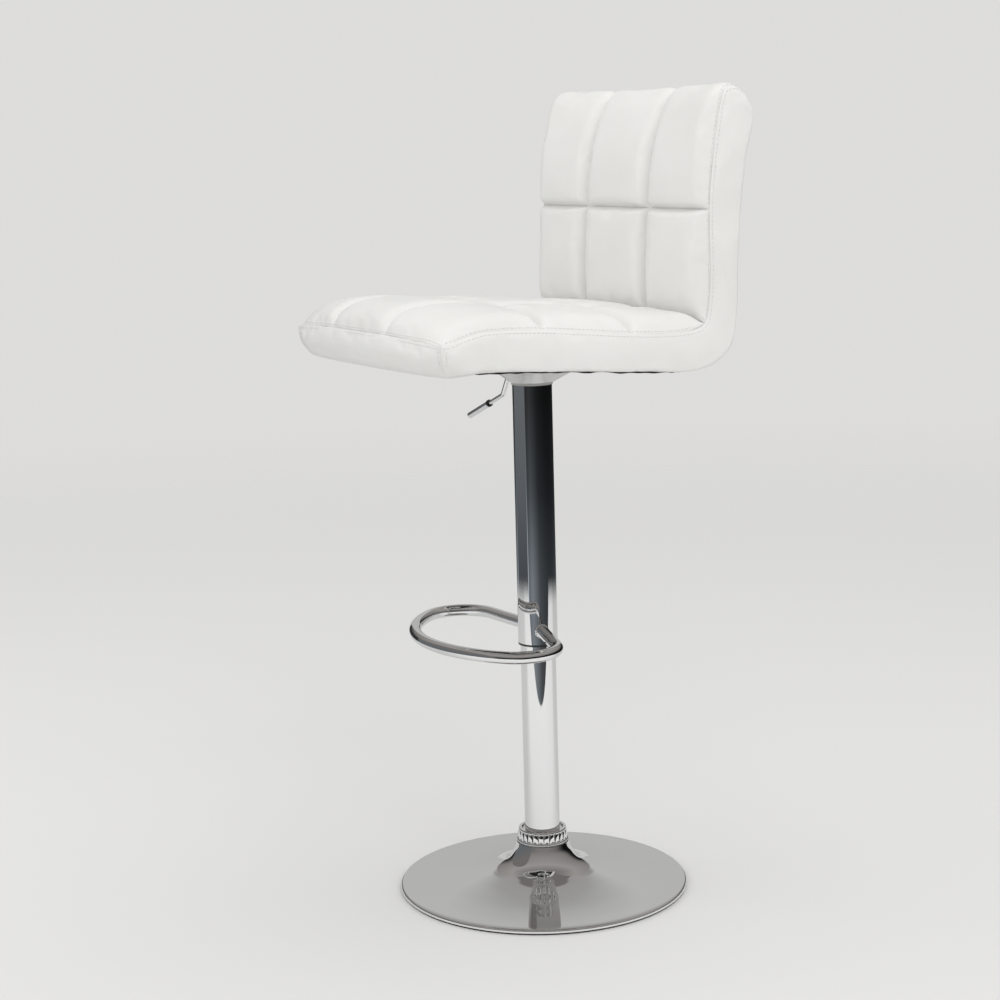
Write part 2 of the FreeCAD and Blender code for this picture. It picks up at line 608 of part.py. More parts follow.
def make_lever_bracket():
    """Two ears on a strip inside the funnel, which hold the lever's pivot pin."""
    body = new_body("lever_bracket")
    floor = "funnel_foot + plate_thick"
    outline = new_sketch(body, "lever_bracket_side", "XZ_Plane", loops=[[
        ("-socket_radius - 1.2", floor), ("-socket_radius - 6", floor), ("-37", "lever_height - 6"),
        ("-37", "lever_height + 5.5"), ("-socket_radius - 3.5", "lever_height + 5.5"),
        ("-socket_radius - 1.2", "lever_height - 5"),
    ]])
    pad(body, outline, "15", midplane=True)
    gap = new_sketch(body, "lever_bracket_gap", height="seat_height", loops=[[
        ("-45", "-4.8"), ("0", "-4.8"), ("0", "4.8"), ("-45", "4.8"),
    ]])
    pocket(body, gap, "seat_height - funnel_foot - plate_thick - 2.2")
    hole = new_sketch(body, "lever_bracket_hole", "XZ_Plane",
                      circles=[("-pivot_offset", "lever_height", "pivot_radius + 0.02")])
    pocket(body, hole, "20", midplane=True)

    pin = new_body("lever_pivot_pin")
    section = new_sketch(pin, "lever_pin_section", "XZ_Plane",
                         circles=[("-pivot_offset", "lever_height", "pivot_radius")])
    pad(pin, section, "17", midplane=True)


# Lever rod's route in the upright plane y = 0: (x, z) of its ends and bends.
LEVER_ROUTE = [(3.0, 700.6), (-52.0, 700.6), (-78.0, 657.0), (-170.0, 620.4)]
LEVER_BEND = 7.0


def rounded_wire(points, radius):
    """Straight runs joined by tangent arcs of one radius."""
    edges = []
    start = points[0]
    for before, corner, after in zip(points, points[1:], points[2:]):
        back = (before - corner).normalize()
        ahead = (after - corner).normalize()
        half = back.getAngle(ahead) / 2
        setback = radius / math.tan(half)
        first = corner + back * setback
        last = corner + ahead * setback
        bisector = (back + ahead).normalize()
        middle = corner + bisector * (radius / math.sin(half) - radius)
        edges.append(Part.LineSegment(start, first).toShape())
        edges.append(Part.Arc(first, middle, last).toShape())
        start = last
    edges.append(Part.LineSegment(start, points[-1]).toShape())
    return Part.Wire(edges)


def make_lever():
    """Bent release rod with its pivot hub, and the grip and ring on its outer end."""
    points = [FreeCAD.Vector(x, 0, z) for x, z in LEVER_ROUTE]
    radius = number_of("lever_radius")
    wire = rounded_wire(points, LEVER_BEND)
    circle = Part.Circle(points[0], points[1] - points[0], radius)
    rod = wire.makePipeShell([Part.Wire(circle.toShape())], True, False)
    hub_base = FreeCAD.Vector(-number_of("pivot_offset"), -4.5, number_of("lever_height"))
    sideways = FreeCAD.Vector(0, 1, 0)
    hub = Part.makeCylinder(6.2, 9.0, hub_base, sideways)
    bore = Part.makeCylinder(number_of("pivot_radius") + 0.05, 9.0, hub_base, sideways)
    feature = doc.addObject("Part::Feature", "lever_rod")
    feature.Label = "lever_rod"
    feature.Shape = rod.fuse(hub).cut(bore).removeSplitter()
    sub_parts.append(feature)

    outward = (points[-1] - points[-2]).normalize()
    grip_start = points[-1] + outward * 2.0 - outward * number_of("grip_length")
    along_grip = FreeCAD.Placement(grip_start, FreeCAD.Rotation(FreeCAD.Vector(0, 0, 1), outward))
    turned("lever_grip", [
        ("lever_radius + 0.02", "3"), ("grip_radius", "3"), ("grip_radius", "grip_length - 1.2"),
        ("grip_radius - 1.2", "grip_length"), ("0", "grip_length"), ("0", "grip_length - 1.98"),
        ("lever_radius + 0.02", "grip_length - 1.98"),
    ], along_grip)
    turned("grip_ring", [
        ("lever_radius + 0.02", "0"), ("grip_radius + 0.7", "0"),
        ("grip_radius + 0.7", "2.98"), ("lever_radius + 0.02", "2.98"),
    ], along_grip)


# ---------------------------------------------------------------- seat and back

def make_boards(spots):
    """Plywood seat board and back board, with the corner brackets that join them."""
    board = new_body("seat_board", SEAT_FRAME)
    half = "board_width / 2"
    outline = new_sketch(board, "seat_board_outline", height="board_lift", loops=[[
        ("-" + half + " + 25", "-board_front"), (half + " - 25", "-board_front"),
        (half, "-board_front + 25"), (half, "back_face - 0.1"),
        ("-" + half, "back_face - 0.1"), ("-" + half, "-board_front + 25"),
    ]])
    pad(board, outline, "board_thick")
    holes = new_sketch(board, "seat_board_holes", height="0",
                       circles=[(x, y, "plate_bolt_radius + 1.5") for x, y in spots])
    pocket(board, holes, "board_thick + 5", backwards=True)

    back = new_body("back_board", SEAT_FRAME)
    back_outline = new_sketch(back, "back_board_outline", "XZ_Plane", "-back_board_front", loops=[[
        ("-" + half, "back_board_low"), (half, "back_board_low"), (half, "back_board_top - 25"),
        (half + " - 25", "back_board_top"), ("-" + half + " + 25", "back_board_top"),
        ("-" + half, "back_board_top - 25"),
    ]])
    pad(back, back_outline, "board_thick", backwards=True)

    deck = "board_lift + board_thick"
    face = "back_board_front - 0.1"
    for side, sign in (("left", ""), ("right", "-")):
        bracket = new_body("corner_bracket_" + side, SEAT_FRAME)
        section = new_sketch(bracket, "bracket_section_" + side, "YZ_Plane",
                             f"{sign}bracket_offset", loops=[[
            (face + " - bracket_leg", deck), (face + " - bracket_corner", deck),
            (face, deck + " + bracket_corner"), (face, deck + " + bracket_leg"),
            (face + " - bracket_thick", deck + " + bracket_leg"),
            (face + " - bracket_thick", deck + " + bracket_corner + bracket_thick * 0.4"),
            (face + " - bracket_corner - bracket_thick * 0.4", deck + " + bracket_thick"),
            (face + " - bracket_leg", deck + " + bracket_thick"),
        ]])
        pad(bracket, section, "bracket_width", midplane=True)


def make_bracket_screws():
    """Wood screws: two down into the seat board and two back into the back board at each bracket."""
    deck = number_of("board_lift + board_thick + bracket_thick")
    face = number_of("back_board_front - 0.1 - bracket_thick")
    reach = number_of("bracket_leg") * 0.82
    offset = number_of("bracket_offset")
    shapes = []
    for x in (-offset - 8, -offset + 8, offset - 8, offset + 8):
        down_head = Part.makeCylinder(3.6, 1.6, FreeCAD.Vector(x, face - reach, deck))
        back_head = Part.makeCylinder(3.6, 1.6, FreeCAD.Vector(x, face, deck + reach),
                                      FreeCAD.Vector(0, -1, 0))
        shapes.extend([down_head, back_head])
    group_of_solids("bracket_screws", shapes, SEAT_FRAME)


def make_seat_bolts(spots):
    """Four M6 bolts with washers from below, and the tee nuts that they screw into."""
    radius = number_of("plate_bolt_radius")
    underside = -number_of("plate_thick")
    deck = number_of("board_lift + board_thick")
    bolts = []
    washers = []
    nuts = []
    for x, y in spots:
        at = FreeCAD.Vector(number_of(x), number_of(y), 0)
        washer_low = at + FreeCAD.Vector(0, 0, underside - 1.4)
        washer = Part.makeCylinder(radius + 3, 1.38, washer_low)
        washers.append(washer.cut(Part.makeCylinder(radius + 0.1, 1.38, washer_low)))
        head_low = washer_low - FreeCAD.Vector(0, 0, 4.0)
        hexagon = [FreeCAD.Vector((radius + 2.6) * math.cos(math.radians(60 * i)),
                                  (radius + 2.6) * math.sin(math.radians(60 * i)), 0) + head_low
                   for i in range(7)]
        head = Part.Face(Part.makePolygon(hexagon)).extrude(FreeCAD.Vector(0, 0, 4.0))
        shank = Part.makeCylinder(radius, deck - head_low.z - 0.6, head_low)
        bolts.append(head.fuse(shank))
        nut_low = at + FreeCAD.Vector(0, 0, deck - 8)
        barrel = Part.makeCylinder(radius + 1.45, 8, nut_low)
        flange = Part.makeCylinder(radius + 6, 1.4, at + FreeCAD.Vector(0, 0, deck))
        thread = Part.makeCylinder(radius + 0.03, 12, nut_low)
        nuts.append(barrel.fuse(flange).cut(thread))
    group_of_solids("seat_bolts", bolts, SEAT_FRAME)
    group_of_solids("bolt_washers", washers, SEAT_FRAME)
    group_of_solids("tee_nuts", nuts, SEAT_FRAME)


def make_dust_cover():
    """Thin black cloth stapled under the seat board, cut away round the seat plate's funnel."""
    body = new_body("dust_cover", SEAT_FRAME)
    outline = new_sketch(body, "dust_cover_outline", height="0.02", loops=[[
        ("-board_width / 2 + 4", "-board_front + 6"), ("board_width / 2 - 4", "-board_front + 6"),
        ("board_width / 2 - 4", "back_face - 4"), ("-board_width / 2 + 4", "back_face - 4"),
    ]], circles=[("0", "0", "funnel_head_radius - 2")])
    pad(body, outline, "board_lift - 0.04")
    spots = [(sx + "plate_bolt_offset", sy + "plate_bolt_offset") for sx in ("", "-") for sy in ("", "-")]
    holes = new_sketch(body, "dust_cover_holes", height="0",
                       circles=[(x, y, "plate_bolt_radius + 0.5") for x, y in spots])
    pocket(body, holes, "board_lift * 3", backwards=True)


def plan_trim(body, name, front_y, half_width):
    """Cuts the seat to its plan outline: straight sides and a front that bows forward."""
    corner = 22
    points = [
        ("-" + half_width, "300"), ("-" + half_width, "-seat_front + %d" % corner),
        ("-" + half_width + " + 5", "-seat_front + 6"),
        ("-" + half_width + " * 0.9", front_y),
        ("-" + half_width + " * 0.5", front_y + " - front_bow * 0.8"),
        ("0", front_y + " - front_bow"), (half_width + " * 0.5", front_y + " - front_bow * 0.8"),
        (half_width + " * 0.9", front_y), (half_width + " - 5", "-seat_front + 6"),
        (half_width, "-seat_front + %d" % corner), (half_width, "300"),
    ]
    frame = [("-400", "300"), ("-400", "-400"), ("400", "-400"), ("400", "300")]
    outline = [frame[0], frame[1], frame[2], frame[3]] + list(reversed(points))
    sketch = new_sketch(body, name, height="0", loops=[outline])
    pocket(body, sketch, "2000", midplane=True)


def heel(rear, low):
    """Corners along the rounded heel, from the underside to the rear face."""
    corners = []
    for degrees in (0, 18, 36, 54, 72, 90):
        across = f"heel_low + ({rear} - heel_low) * sin({degrees})"
        up = f"{low} + (heel_high - {low}) * (1 - cos({degrees}))"
        corners.append((across, up))
    return corners


def head(rear):
    """Corners over the rolled top of the backrest, from its rear face to its front."""
    return [
        (rear, "back_top - 110"), (rear + " + 5", "back_top - 62"), (rear + " + 8", "back_top - 38"),
        (rear + " + 4", "back_top - 20"), (rear + " - 8", "back_top - 7"), (rear + " - 22", "back_top - 1"),
    ]


def bracket_recess(body, label, deck, low, high, depth):
    """Rooms for both corner brackets, cut upwards from the boards' deck."""
    for side_name, sign in (("left", ""), ("right", "-")):
        centre = f"{sign}bracket_offset"
        room = new_sketch(body, label + "_" + side_name, height=deck, loops=[[
            (centre + " - bracket_width / 2 - 0.5", low), (centre + " + bracket_width / 2 + 0.5", low),
            (centre + " + bracket_width / 2 + 0.5", high), (centre + " - bracket_width / 2 - 0.5", high),
        ]])
        pocket(body, room, depth, backwards=True)


def make_cushions(spots):
    """Foam of the seat and of the back, each a plain crowned block with room for its board."""
    deck = "board_lift + board_thick"
    split = "back_face"
    seat = new_body("seat_cushion", SEAT_FRAME)
    half = "(seat_width / 2 - band_thick)"
    side = new_sketch(seat, "seat_side", "YZ_Plane", loops=[[
        (split, "0"), (split, "seat_crown"), ("-90", "seat_crown"), ("-175", "seat_crown - 1"),
        ("-210", "seat_crown - 10"), ("-238", "front_seam_height + 12"),
        ("-258", "front_seam_height"), ("-258", "8"), ("-246", "0"),
    ]])
    pad(seat, side, "2 * " + half, midplane=True)
    plan_trim(seat, "seat_plan", "-seat_front + band_thick", half)
    room = "board_width / 2 + 0.4"
    board_room = new_sketch(seat, "seat_board_room", height="0", loops=[[
        ("-(" + room + ")", "-board_front - 0.4"), (room, "-board_front - 0.4"),
        (room, split + " + 1"), ("-(" + room + ")", split + " + 1"),
    ]])
    pocket(seat, board_room, deck, backwards=True)
    nut_room = new_sketch(seat, "tee_nut_room", height=deck,
                          circles=[(x, y, "plate_bolt_radius + 6.5") for x, y in spots])
    pocket(seat, nut_room, "3", backwards=True)
    bracket_recess(seat, "seat_bracket_room", deck, "back_board_front - bracket_leg - 1",
                   split + " + 1", "bracket_thick + 2")

    back = new_body("back_cushion", SEAT_FRAME)
    rear = "back_rear - band_thick - 0.1"
    back_side = new_sketch(back, "back_side", "YZ_Plane", loops=[
        [(split + " + 0.3", "0")] + heel(rear, "0") + head(rear) + [
            (rear + " - 38", "back_top - 2"), ("back_face + 14", "back_top - 26"),
            ("back_face + 2", "back_top - 80"), (split + " + 0.3", "back_top - 120"),
        ],
    ])
    pad(back, back_side, "2 * " + half, midplane=True)
    near = "back_board_front - 0.1"
    far = "back_board_front + board_thick + 0.1"
    board_slot = new_sketch(back, "back_board_room", height="back_board_low - 0.3", loops=[[
        ("-(" + room + ")", near), (room, near), (room, far), ("-(" + room + ")", far),
    ]])
    pocket(back, board_slot, "back_board_top - back_board_low + 0.8", backwards=True)
    bracket_recess(back, "back_bracket_flat_room", deck, split + " - 1", near, "bracket_thick + 2")
    bracket_recess(back, "back_bracket_room", deck, "back_board_front - bracket_corner - 4", near,
                   "bracket_leg + 1")


def make_bands():
    """Boxing skins: an L on each side, a bowed strip at the front and a panel over the back."""
    gap = "0.1"
    for side, sign in (("left", ""), ("right", "-")):
        band = new_body("side_band_" + side, SEAT_FRAME)
        outer = [("-seat_front + 14", "0")] + heel("back_rear", "0") + head("back_rear")
        outer.append(("back_rear - 34", "back_top - 3"))
        inner = [
            ("back_seam + 6", "back_top - 40"), ("back_seam", "back_top - 110"),
            ("back_seam + 4", "120"), ("back_seam + 4", "seam_height + 20"),
            ("back_seam - 5", "seam_height + 7"), ("back_seam - 22", "seam_height + 1"),
            ("-155", "seam_height + 1"), ("-195", "seam_height - 5"),
            ("-seat_front + 16", "front_seam_height + 4"), ("-seat_front + 14", "front_seam_height"),
        ]
        middle = f"{sign}(seat_width / 2 - band_thick / 2)"
        section = new_sketch(band, "side_band_outline_" + side, "YZ_Plane", middle, loops=[outer + inner])
        pad(band, section, "band_thick - " + gap, midplane=True)

    front = new_body("front_band", SEAT_FRAME)
    half = "seat_width / 2 * 0.9"
    near = "-seat_front"
    plan = [
        ("-" + half, near), ("-" + half + " * 0.55", near + " - front_bow * 0.8"),
        ("0", near + " - front_bow"), (half + " * 0.55", near + " - front_bow * 0.8"), (half, near),
    ]
    back_edge = [(x, y + " + band_thick - 0.3") for x, y in reversed(plan)]
    strip = new_sketch(front, "front_band_plan", height="9", loops=[plan + back_edge])
    pad(front, strip, "front_seam_height - 10")

    rear = new_body("rear_panel", SEAT_FRAME)
    rear_skin = [
        ("back_rear - band_thick", "heel_high + 2"), ("back_rear", "heel_high + 2"),
        ("back_rear", "back_top - 110"),
        ("back_rear + 5", "back_top - 62"), ("back_rear + 8", "back_top - 38"),
        ("back_rear + 5", "back_top - 38"), ("back_rear + 2", "back_top - 62"),
        ("back_rear - band_thick", "back_top - 110"),
    ]
    section = new_sketch(rear, "rear_panel_section", "YZ_Plane", loops=[rear_skin])
    pad(rear, section, "seat_width - 2 * band_thick - 0.4", midplane=True)


make_base()
make_base_bolts()
make_column()
shoulder_height = make_thrust_bearing()
make_rod(shoulder_height)
make_gas_cylinder()
make_sleeve()
make_footrest()
bolt_spots = make_seat_plate()
make_lever_bracket()
make_lever()
make_boards(bolt_spots)
make_bracket_screws()
make_seat_bolts(bolt_spots)
make_dust_cover()
make_cushions(bolt_spots)
make_bands()
doc.recompute()

failed = [o.Label for o in doc.Objects if "Invalid" in o.State or "Error" in o.State]
if failed:
    raise RuntimeError("these objects failed: " + ", ".join(failed))
for sub_part in sub_parts:
    if sub_part.Shape.isNull() or not sub_part.Shape.isValid():
        raise RuntimeError(sub_part.Label + " has no valid shape")

os.makedirs("parts", exist_ok=True)
for sub_part in sub_parts:
    sub_part.Shape.exportStep(f"parts/{sub_part.Label}.step")
    volume = sub_part.Shape.Volume / 1000.0
    print(f"{sub_part.Label}: {volume:.1f} cm3, {len(sub_part.Shape.Solids)} solid(s)")
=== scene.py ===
"""Looks of the adjustable swivel stool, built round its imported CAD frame.

The upholstery is shaped in the seat's own frame: x to the sitter's left, y to the rear along the seat's
underside and z up from it, in millimetres. That frame is tilted back by TILT and sits where the packed
dust cover lies. Everything else keeps the CAD's shape and gets its finish here.
"""

import json
import math

import bmesh
import bpy
import numpy as np
from mathutils import Matrix, Vector
from mathutils.bvhtree import BVHTree
from mathutils.noise import noise


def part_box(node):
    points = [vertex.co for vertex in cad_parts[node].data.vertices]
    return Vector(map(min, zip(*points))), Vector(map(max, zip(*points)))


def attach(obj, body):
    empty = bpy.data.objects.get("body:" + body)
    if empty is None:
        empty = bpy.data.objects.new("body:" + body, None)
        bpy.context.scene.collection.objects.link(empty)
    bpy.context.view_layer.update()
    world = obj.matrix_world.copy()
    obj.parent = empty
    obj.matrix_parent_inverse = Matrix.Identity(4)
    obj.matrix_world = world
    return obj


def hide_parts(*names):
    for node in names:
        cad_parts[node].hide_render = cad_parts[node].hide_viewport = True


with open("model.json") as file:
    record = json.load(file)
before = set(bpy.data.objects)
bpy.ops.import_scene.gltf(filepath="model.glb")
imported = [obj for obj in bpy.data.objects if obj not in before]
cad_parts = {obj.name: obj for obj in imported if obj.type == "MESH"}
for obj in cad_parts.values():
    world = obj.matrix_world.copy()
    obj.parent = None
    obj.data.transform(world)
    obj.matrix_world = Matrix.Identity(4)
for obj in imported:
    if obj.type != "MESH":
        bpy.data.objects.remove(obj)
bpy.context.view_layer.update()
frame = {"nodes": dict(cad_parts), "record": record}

MM = 0.001
TILT = math.radians(4.3)
cover_low, cover_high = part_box("dust_cover")
SEAT_BASE = cover_low.z + cover_high.y * math.tan(TILT)


def seat_point(x, y, z):
    """A point of the seat's own frame, given in millimetres, in the row frame."""
    across, along, up = x * MM, y * MM, z * MM
    back = along * math.cos(TILT) + up * math.sin(TILT)
    return Vector((across, back, SEAT_BASE - along * math.sin(TILT) + up * math.cos(TILT)))


# ------------------------ curves and meshes


def limited(value, low, high):
    return min(max(value, low), high)


def smooth(knots, steps):
    """Points of a Catmull-Rom curve through knots, steps[i] of them in the stretch after knot i."""
    p = np.array(knots, float)
    ends = np.vstack([2 * p[0] - p[1], p, 2 * p[-1] - p[-2]])
    found = []
    for i, count in enumerate(steps):
        a, b, c, d = ends[i : i + 4]
        for t in np.arange(count) / count:
            bend = (2 * a - 5 * b + 4 * c - d) * t * t + (3 * b - a - 3 * c + d) * t**3
            found.append(0.5 * (2 * b + (c - a) * t + bend))
    return np.array(found + [p[-1]])


def spaced(low, high, count, crowding=0.55):
    """count + 1 values from low to high that lie closer together at both ends."""
    t = np.linspace(0, 1, count + 1)
    return low + (high - low) * (t - crowding * np.sin(2 * math.pi * t) / (2 * math.pi))


def grid_faces(rows, columns, closed=False):
    """Quads of a grid whose points are numbered row by row; closed joins the last column to the first."""
    width = columns if closed else columns - 1
    return [
        (r * columns + c, r * columns + (c + 1) % columns,
         (r + 1) * columns + (c + 1) % columns, (r + 1) * columns + c)
        for r in range(rows - 1)
        for c in range(width)
    ]


def ring_faces(rows, columns):
    """Quads of a ring: closed rows of points, the last row joined to the first."""
    last = (rows - 1) * columns
    joined = [(last + k, last + (k + 1) % columns, (k + 1) % columns, k) for k in range(columns)]
    return grid_faces(rows, columns, closed=True) + joined


def sewn_points(rows, columns, held):
    """The points of a grid's first and last rows and of its held columns, counted from either end."""
    kept = {k % columns for k in held}
    return [j * columns + i for j in range(rows) for i in range(columns) if j in (0, rows - 1) or i in kept]


def rod_faces(first, rings, sides):
    """Faces of a closed rod whose points are numbered from first on, ring by ring."""
    faces = []
    for r in range(rings - 1):
        for k in range(sides):
            a, b = first + r * sides + k, first + r * sides + (k + 1) % sides
            faces.append((a, b, b + sides, a + sides))
    faces.append(tuple(first + k for k in reversed(range(sides))))
    faces.append(tuple(first + (rings - 1) * sides + k for k in range(sides)))
    return faces


def new_object(name, points, faces):
    """An object of its own in the scene, from points in metres and faces."""
    mesh = bpy.data.meshes.new(name)
    mesh.from_pydata([tuple(p) for p in points], [], faces)
    mesh.update()
    obj = bpy.data.objects.new(name, mesh)
    bpy.context.scene.collection.objects.link(obj)
    return obj


def apply_modifiers(obj):
    """Puts the modifiers' result in the place of the object's mesh."""
    graph = bpy.context.evaluated_depsgraph_get()
    graph.update()
    mesh = bpy.data.meshes.new_from_object(obj.evaluated_get(graph))
    obj.modifiers.clear()
    obj.data = mesh


def shade_smooth(obj):
    obj.data.polygons.foreach_set("use_smooth", [True] * len(obj.data.polygons))


def outward(obj):
    """Turns every face's front outward."""
    bm = bmesh.new()
    bm.from_mesh(obj.data)
    bmesh.ops.recalc_face_normals(bm, faces=bm.faces)
    bm.to_mesh(obj.data)
    bm.free()


def revolve(name, profile, segments, radius_at=None):
    """A closed turned piece about the column's axis, its profile in millimetres; radius_at(angle, i) scales
    the radius of profile point i."""
    points = []
    for i, (radius, height) in enumerate(profile):
        for k in range(segments):
            angle = 2 * math.pi * k / segments
            r = radius * (radius_at(angle, i) if radius_at else 1)
            points.append((r * math.cos(angle) * MM, r * math.sin(angle) * MM, height * MM))
    return new_object(name, points, ring_faces(len(profile), segments))


CLOTH_FRAMES = 16


def inflate(name, points, faces, pinned, pressure, slack, cap):
    """Cloth sewn down at its pinned points and blown out by the foam behind it; returns the new points.
    The cloth is larger than its seams by slack, and no point moves further than cap, in metres."""
    scene = bpy.context.scene
    obj = new_object(name, points, faces)
    group = obj.vertex_groups.new(name="seams")
    group.add([int(i) for i in pinned], 1.0, "REPLACE")
    cloth = obj.modifiers.new("cloth", "CLOTH")
    settings = cloth.settings
    settings.quality = 7
    settings.mass = 0.35
    settings.tension_stiffness = 40
    settings.compression_stiffness = 25
    settings.shear_stiffness = 12
    settings.bending_stiffness = 1.2
    settings.air_damping = 4
    settings.vertex_group_mass = group.name
    settings.shrink_min = -slack
    settings.use_pressure = True
    settings.uniform_pressure_force = pressure
    settings.effector_weights.gravity = 0
    cloth.collision_settings.use_collision = False
    cloth.point_cache.frame_end = CLOTH_FRAMES
    for step in range(1, CLOTH_FRAMES + 1):
        scene.frame_set(step)
    graph = bpy.context.evaluated_depsgraph_get()
    moved = np.array([v.co for v in obj.evaluated_get(graph).data.vertices], float)
    scene.frame_set(1)
    bpy.data.objects.remove(obj)
    start = np.array([tuple(p) for p in points], float)
    shift = moved - start
    length = np.linalg.norm(shift, axis=1, keepdims=True) + 1e-9
    return start + shift / length * cap * np.tanh(length / cap)


# ------------------------ materials


def new_material(name):
    """A node material with its Principled shader; returns (material, node tree, shader)."""
    material = bpy.data.materials.new(name)
    material.use_nodes = True
    return material, material.node_tree, material.node_tree.nodes["Principled BSDF"]


def new_node(tree, kind):
    return tree.nodes.new("ShaderNode" + kind)


def texture(tree, kind, scale, stretch=(1, 1, 1), **sockets):
    """The pattern of a procedural texture in the piece's own coordinates, the row frame's metres."""
    place = new_node(tree, "TexCoord")
    mapping = new_node(tree, "Mapping")
    mapping.inputs["Scale"].default_value = stretch
    node = new_node(tree, "Tex" + kind)
    node.inputs["Scale"].default_value = scale
    for socket, value in sockets.items():
        node.inputs[socket].default_value = value
    tree.links.new(place.outputs["Object"], mapping.inputs["Vector"])
    tree.links.new(mapping.outputs["Vector"], node.inputs["Vector"])
    return node.outputs["Distance" if kind == "Voronoi" else "Fac"]


def ramp(tree, source, stops):
    """A colour ramp fed by source, with (position, colour or grey) stops."""
    node = new_node(tree, "ValToRGB")
    elements = node.color_ramp.elements
    while len(elements) < len(stops):
        elements.new(0.5)
    for element, (position, value) in zip(elements, stops):
        colour = value if isinstance(value, tuple) else (value, value, value)
        element.position = position
        element.color = (*colour, 1)
    tree.links.new(source, node.inputs["Fac"])
    return node.outputs["Color"]


def feed(tree, socket, source, stops):
    """Feeds a shader's socket from source by way of a ramp."""
    tree.links.new(ramp(tree, source, stops), socket)


def bump(tree, height, shader, strength, distance, below=None):
    """Bumps the shader's surface by height, over the bump below if given; returns the normal."""
    node = new_node(tree, "Bump")
    node.inputs["Strength"].default_value = strength
    node.inputs["Distance"].default_value = distance
    tree.links.new(height, node.inputs["Height"])
    if below is not None:
        tree.links.new(below, node.inputs["Normal"])
    tree.links.new(node.outputs["Normal"], shader.inputs["Normal"])
    return node.outputs["Normal"]


def metal(name, colour, low, high, grain, stretch=(1, 1, 1), strength=0.02):
    """A plated or bare metal whose roughness wanders from low to high with a fine grain."""
    material, tree, shader = new_material(name)
    shader.inputs["Metallic"].default_value = 1
    wear = texture(tree, "Noise", 9, Detail=4, Roughness=0.6)
    feed(tree, shader.inputs["Base Color"], wear, [(0.3, tuple(c * 0.97 for c in colour)), (0.7, colour)])
    smudge = texture(tree, "Noise", 22, Detail=5, Roughness=0.65)
    feed(tree, shader.inputs["Roughness"], smudge, [(0.35, low), (0.7, high)])
    fine = texture(tree, "Noise", grain, stretch, Detail=2)
    bump(tree, fine, shader, strength, 0.0001)
    return material


def leather():
    """White coated leather: small pebbles, a few soft folds and a faint warm drift in its colour."""
    material, tree, shader = new_material("white_leather")
    drift = texture(tree, "Noise", 14, Detail=3)
    feed(tree, shader.inputs["Base Color"], drift, [(0.3, (0.80, 0.795, 0.775)), (0.7, (0.835, 0.83, 0.812))])
    gloss = texture(tree, "Noise", 60, Detail=4)
    feed(tree, shader.inputs["Roughness"], gloss, [(0.3, 0.36), (0.7, 0.46)])
    shader.inputs["Specular IOR Level"].default_value = 0.42
    shader.inputs["Coat Weight"].default_value = 0.08
    shader.inputs["Coat Roughness"].default_value = 0.3
    shader.inputs["Subsurface Weight"].default_value = 0.05
    shader.inputs["Subsurface Radius"].default_value = (0.004, 0.0035, 0.003)
    folds = texture(tree, "Noise", 45, Detail=2)
    first = bump(tree, folds, shader, 0.25, 0.0006)
    pebbles = texture(tree, "Voronoi", 950)
    pebbles.node.feature = "SMOOTH_F1"
    bump(tree, pebbles, shader, 0.3, 0.00025, below=first)
    return material


def thread():
    """Off-white polyester sewing thread, painted with darker stripes of shade in the grooves of its two
    twisted strands.
    """
    material, tree, shader = new_material("stitch_thread")
    # painted shade: stripes darker where the grooves between the strands would be shaded
    strand_shade = texture(tree, "Wave", 500, (1, 1, 1.6))
    feed(tree, shader.inputs["Base Color"], strand_shade, [(0.0, (0.66, 0.65, 0.63)), (1.0, (0.82, 0.81, 0.79))])
    shader.inputs["Roughness"].default_value = 0.55
    return material


def moulded(name, colour, rough, scale=220, strength=0.15):
    """A moulded plastic, rubber or paint: one colour with a fine texture in its skin."""
    material, tree, shader = new_material(name)
    mottle = texture(tree, "Noise", scale / 8, Detail=3)
    feed(tree, shader.inputs["Base Color"], mottle, [(0.3, tuple(c * 0.85 for c in colour)), (0.7, colour)])
    skin = texture(tree, "Noise", scale * 6, Detail=2)
    feed(tree, shader.inputs["Roughness"], skin, [(0.3, rough * 0.85), (0.7, min(1, rough * 1.15))])
    bump(tree, skin, shader, strength, 0.0002)
    return material


def patterned(name, stops, rough, sheen, relief, *pattern, **settings):
    """A material whose colour and relief (the bump's strength and distance) follow one pattern."""
    material, tree, shader = new_material(name)
    height = texture(tree, *pattern, **settings)
    feed(tree, shader.inputs["Base Color"], height, stops)
    shader.inputs["Roughness"].default_value = rough
    shader.inputs["Sheen Weight"].default_value = sheen
    bump(tree, height, shader, *relief)
    return material


def plywood():
    """Pale birch ply, its grain running fore and aft."""
    stops, grain = [(0.3, (0.42, 0.28, 0.15)), (0.7, (0.66, 0.5, 0.31))], ("Noise", 90, (1, 0.08, 1))
    return patterned("plywood", stops, 0.6, 0, (0.2, 0.0003), *grain, Detail=5, Distortion=0.4)


def woven_black():
    """The black spun-bonded cloth under the seat, with its pressed dot pattern."""
    stops = [(0.0, (0.02, 0.02, 0.021)), (0.6, (0.006, 0.006, 0.007))]
    return patterned("dust_cloth", stops, 0.9, 0.2, (0.4, 0.0003), "Voronoi", 520, Randomness=0.25)


def foam():
    """Cream upholstery foam with open cells, painted darker in their hollows as shade."""
    # painted shade: the colour darkens towards each cell's middle, where the bump sinks in
    stops = [(0.0, (0.5, 0.44, 0.28)), (0.6, (0.78, 0.72, 0.52))]
    return patterned("foam", stops, 0.95, 0, (0.5, 0.0005), "Voronoi", 700)


